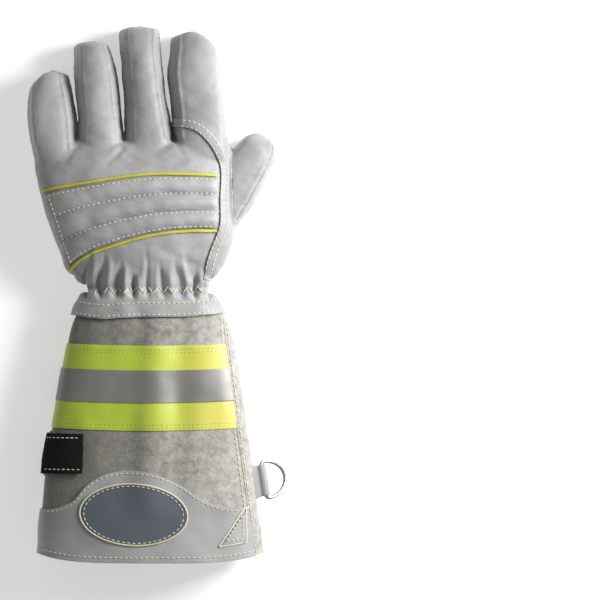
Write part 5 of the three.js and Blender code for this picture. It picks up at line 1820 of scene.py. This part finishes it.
def build_stage():
    """The floor, the lights and the camera straight above."""
    bm = bmesh.new()
    bmesh.ops.create_grid(bm, x_segments=1, y_segments=1, size=2.0)
    mesh = as_mesh(bm, "floor")
    mesh.materials.append(material("Pale floor"))
    add_object("floor", mesh)

    wide = 2 * PHOTO_MIDDLE * PHOTO_SCALE * MM
    camera = bpy.data.cameras.new("camera")
    camera.lens = LENS
    camera.sensor_width = SENSOR
    camera.clip_end = 20
    x = (PHOTO_MIDDLE - PHOTO_ORIGIN[0]) * PHOTO_SCALE + SHIFT.x
    y = (PHOTO_ORIGIN[1] - PHOTO_MIDDLE) * PHOTO_SCALE + SHIFT.y
    eye = add_object("camera", camera)
    eye.location = (x * MM, y * MM, wide * LENS / SENSOR + CAMERA_UP)
    bpy.context.scene.camera = eye

    for light in LIGHTS:
        data = bpy.data.lights.new(light["name"], "AREA")
        data.size = light["size"]
        data.energy = light["power"]
        lamp = add_object(light["name"], data)
        lamp.location = light["place"]
        lamp.rotation_euler = (-Vector(light["place"])).to_track_quat("-Z", "Y").to_euler()
    world = bpy.data.worlds.new("studio")
    world.use_nodes = True
    background = world.node_tree.nodes["Background"]
    background.inputs["Color"].default_value = (1, 1, 1, 1)
    background.inputs["Strength"].default_value = SKY
    bpy.context.scene.world = world
    bpy.context.scene.view_settings.view_transform = "Standard"


# Operators

MADE = {}  # the surfaces of finished pieces that others lie on


class GLOVE_OT_hand(bpy.types.Operator):
    """Makes the hand's leather panels."""

    bl_idname = "glove.hand"
    bl_label = "Hand"

    def execute(self, context):
        MADE["hand"] = surface_of(*build_hand())
        return {"FINISHED"}


class GLOVE_OT_pad(bpy.types.Operator):
    """Makes the knuckle pad, its cords and the welt."""

    bl_idname = "glove.pad"
    bl_label = "Knuckle pad"

    def execute(self, context):
        MADE["pad"] = surface_of(build_knuckle_pad(MADE["hand"]))
        build_piping(MADE["hand"])
        MADE["welt"] = surface_of(build_welt(MADE["hand"]))
        return {"FINISHED"}


class GLOVE_OT_cuff(bpy.types.Operator):
    """Makes the suede cuff."""

    bl_idname = "glove.cuff"
    bl_label = "Cuff"

    def execute(self, context):
        MADE["cuff"] = surface_of(*build_cuff())
        return {"FINISHED"}


class GLOVE_OT_trim(bpy.types.Operator):
    """Makes the tape, the hem panel, the patches and the guard."""

    bl_idname = "glove.trim"
    bl_label = "Tape and panels"

    def execute(self, context):
        MADE["tape"] = surface_of(build_tape())
        MADE["hem"] = surface_of(build_hem_panel())
        build_oval(MADE["hem"])
        build_corner(MADE["hem"])
        MADE["guard"] = surface_of(build_guard())
        return {"FINISHED"}


class GLOVE_OT_strap(bpy.types.Operator):
    """Makes the closing strap."""

    bl_idname = "glove.strap"
    bl_label = "Strap"

    def execute(self, context):
        band, tab = build_strap()
        MADE["band"], MADE["tab"] = surface_of(band), surface_of(tab)
        return {"FINISHED"}


class GLOVE_OT_ring(bpy.types.Operator):
    """Makes the D-ring and its leather loop."""

    bl_idname = "glove.ring"
    bl_label = "D-ring"

    def execute(self, context):
        build_ring()
        build_ring_loop()
        return {"FINISHED"}


class GLOVE_OT_stitches(bpy.types.Operator):
    """Sews all the stitches."""

    bl_idname = "glove.stitches"
    bl_label = "Stitches"

    def execute(self, context):
        build_hand_stitches(MADE["hand"], MADE["pad"], MADE["welt"])
        build_cuff_stitches(*(MADE[key] for key in ("cuff", "hem", "band", "guard", "tab")))
        build_tape_stitches(MADE["tape"])
        return {"FINISHED"}


class GLOVE_OT_stage(bpy.types.Operator):
    """Sets up the floor, lights and camera."""

    bl_idname = "glove.stage"
    bl_label = "Stage"

    def execute(self, context):
        build_stage()
        return {"FINISHED"}


STEPS = ("hand", "pad", "cuff", "trim", "strap", "ring", "stitches", "stage")


class GLOVE_PT_panel(bpy.types.Panel):
    """Lists the glove's pieces, sizes and colours in the sidebar."""

    bl_label = "Glove"
    bl_idname = "GLOVE_PT_panel"
    bl_space_type = "VIEW_3D"
    bl_region_type = "UI"
    bl_category = "Glove"

    def draw(self, context):
        for step in STEPS:
            self.layout.operator(f"glove.{step}")
        for group in (context.scene.glove_sizes, context.scene.glove_colours):
            for key in type(group).__annotations__:
                self.layout.prop(group, key)


CLASSES = (
    GloveSizes, GloveColours, GLOVE_OT_hand, GLOVE_OT_pad, GLOVE_OT_cuff, GLOVE_OT_trim, GLOVE_OT_strap,
    GLOVE_OT_ring, GLOVE_OT_stitches, GLOVE_OT_stage, GLOVE_PT_panel,
)


def register():
    for kind in CLASSES:
        bpy.utils.register_class(kind)
    bpy.types.Scene.glove_sizes = bpy.props.PointerProperty(type=GloveSizes)
    bpy.types.Scene.glove_colours = bpy.props.PointerProperty(type=GloveColours)


def unregister():
    del bpy.types.Scene.glove_sizes
    del bpy.types.Scene.glove_colours
    for kind in reversed(CLASSES):
        bpy.utils.unregister_class(kind)


def main():
    """Makes every piece and the stage."""
    register()
    for step in STEPS:
        getattr(bpy.ops.glove, step)()


if __name__ == "__main__":
    main()
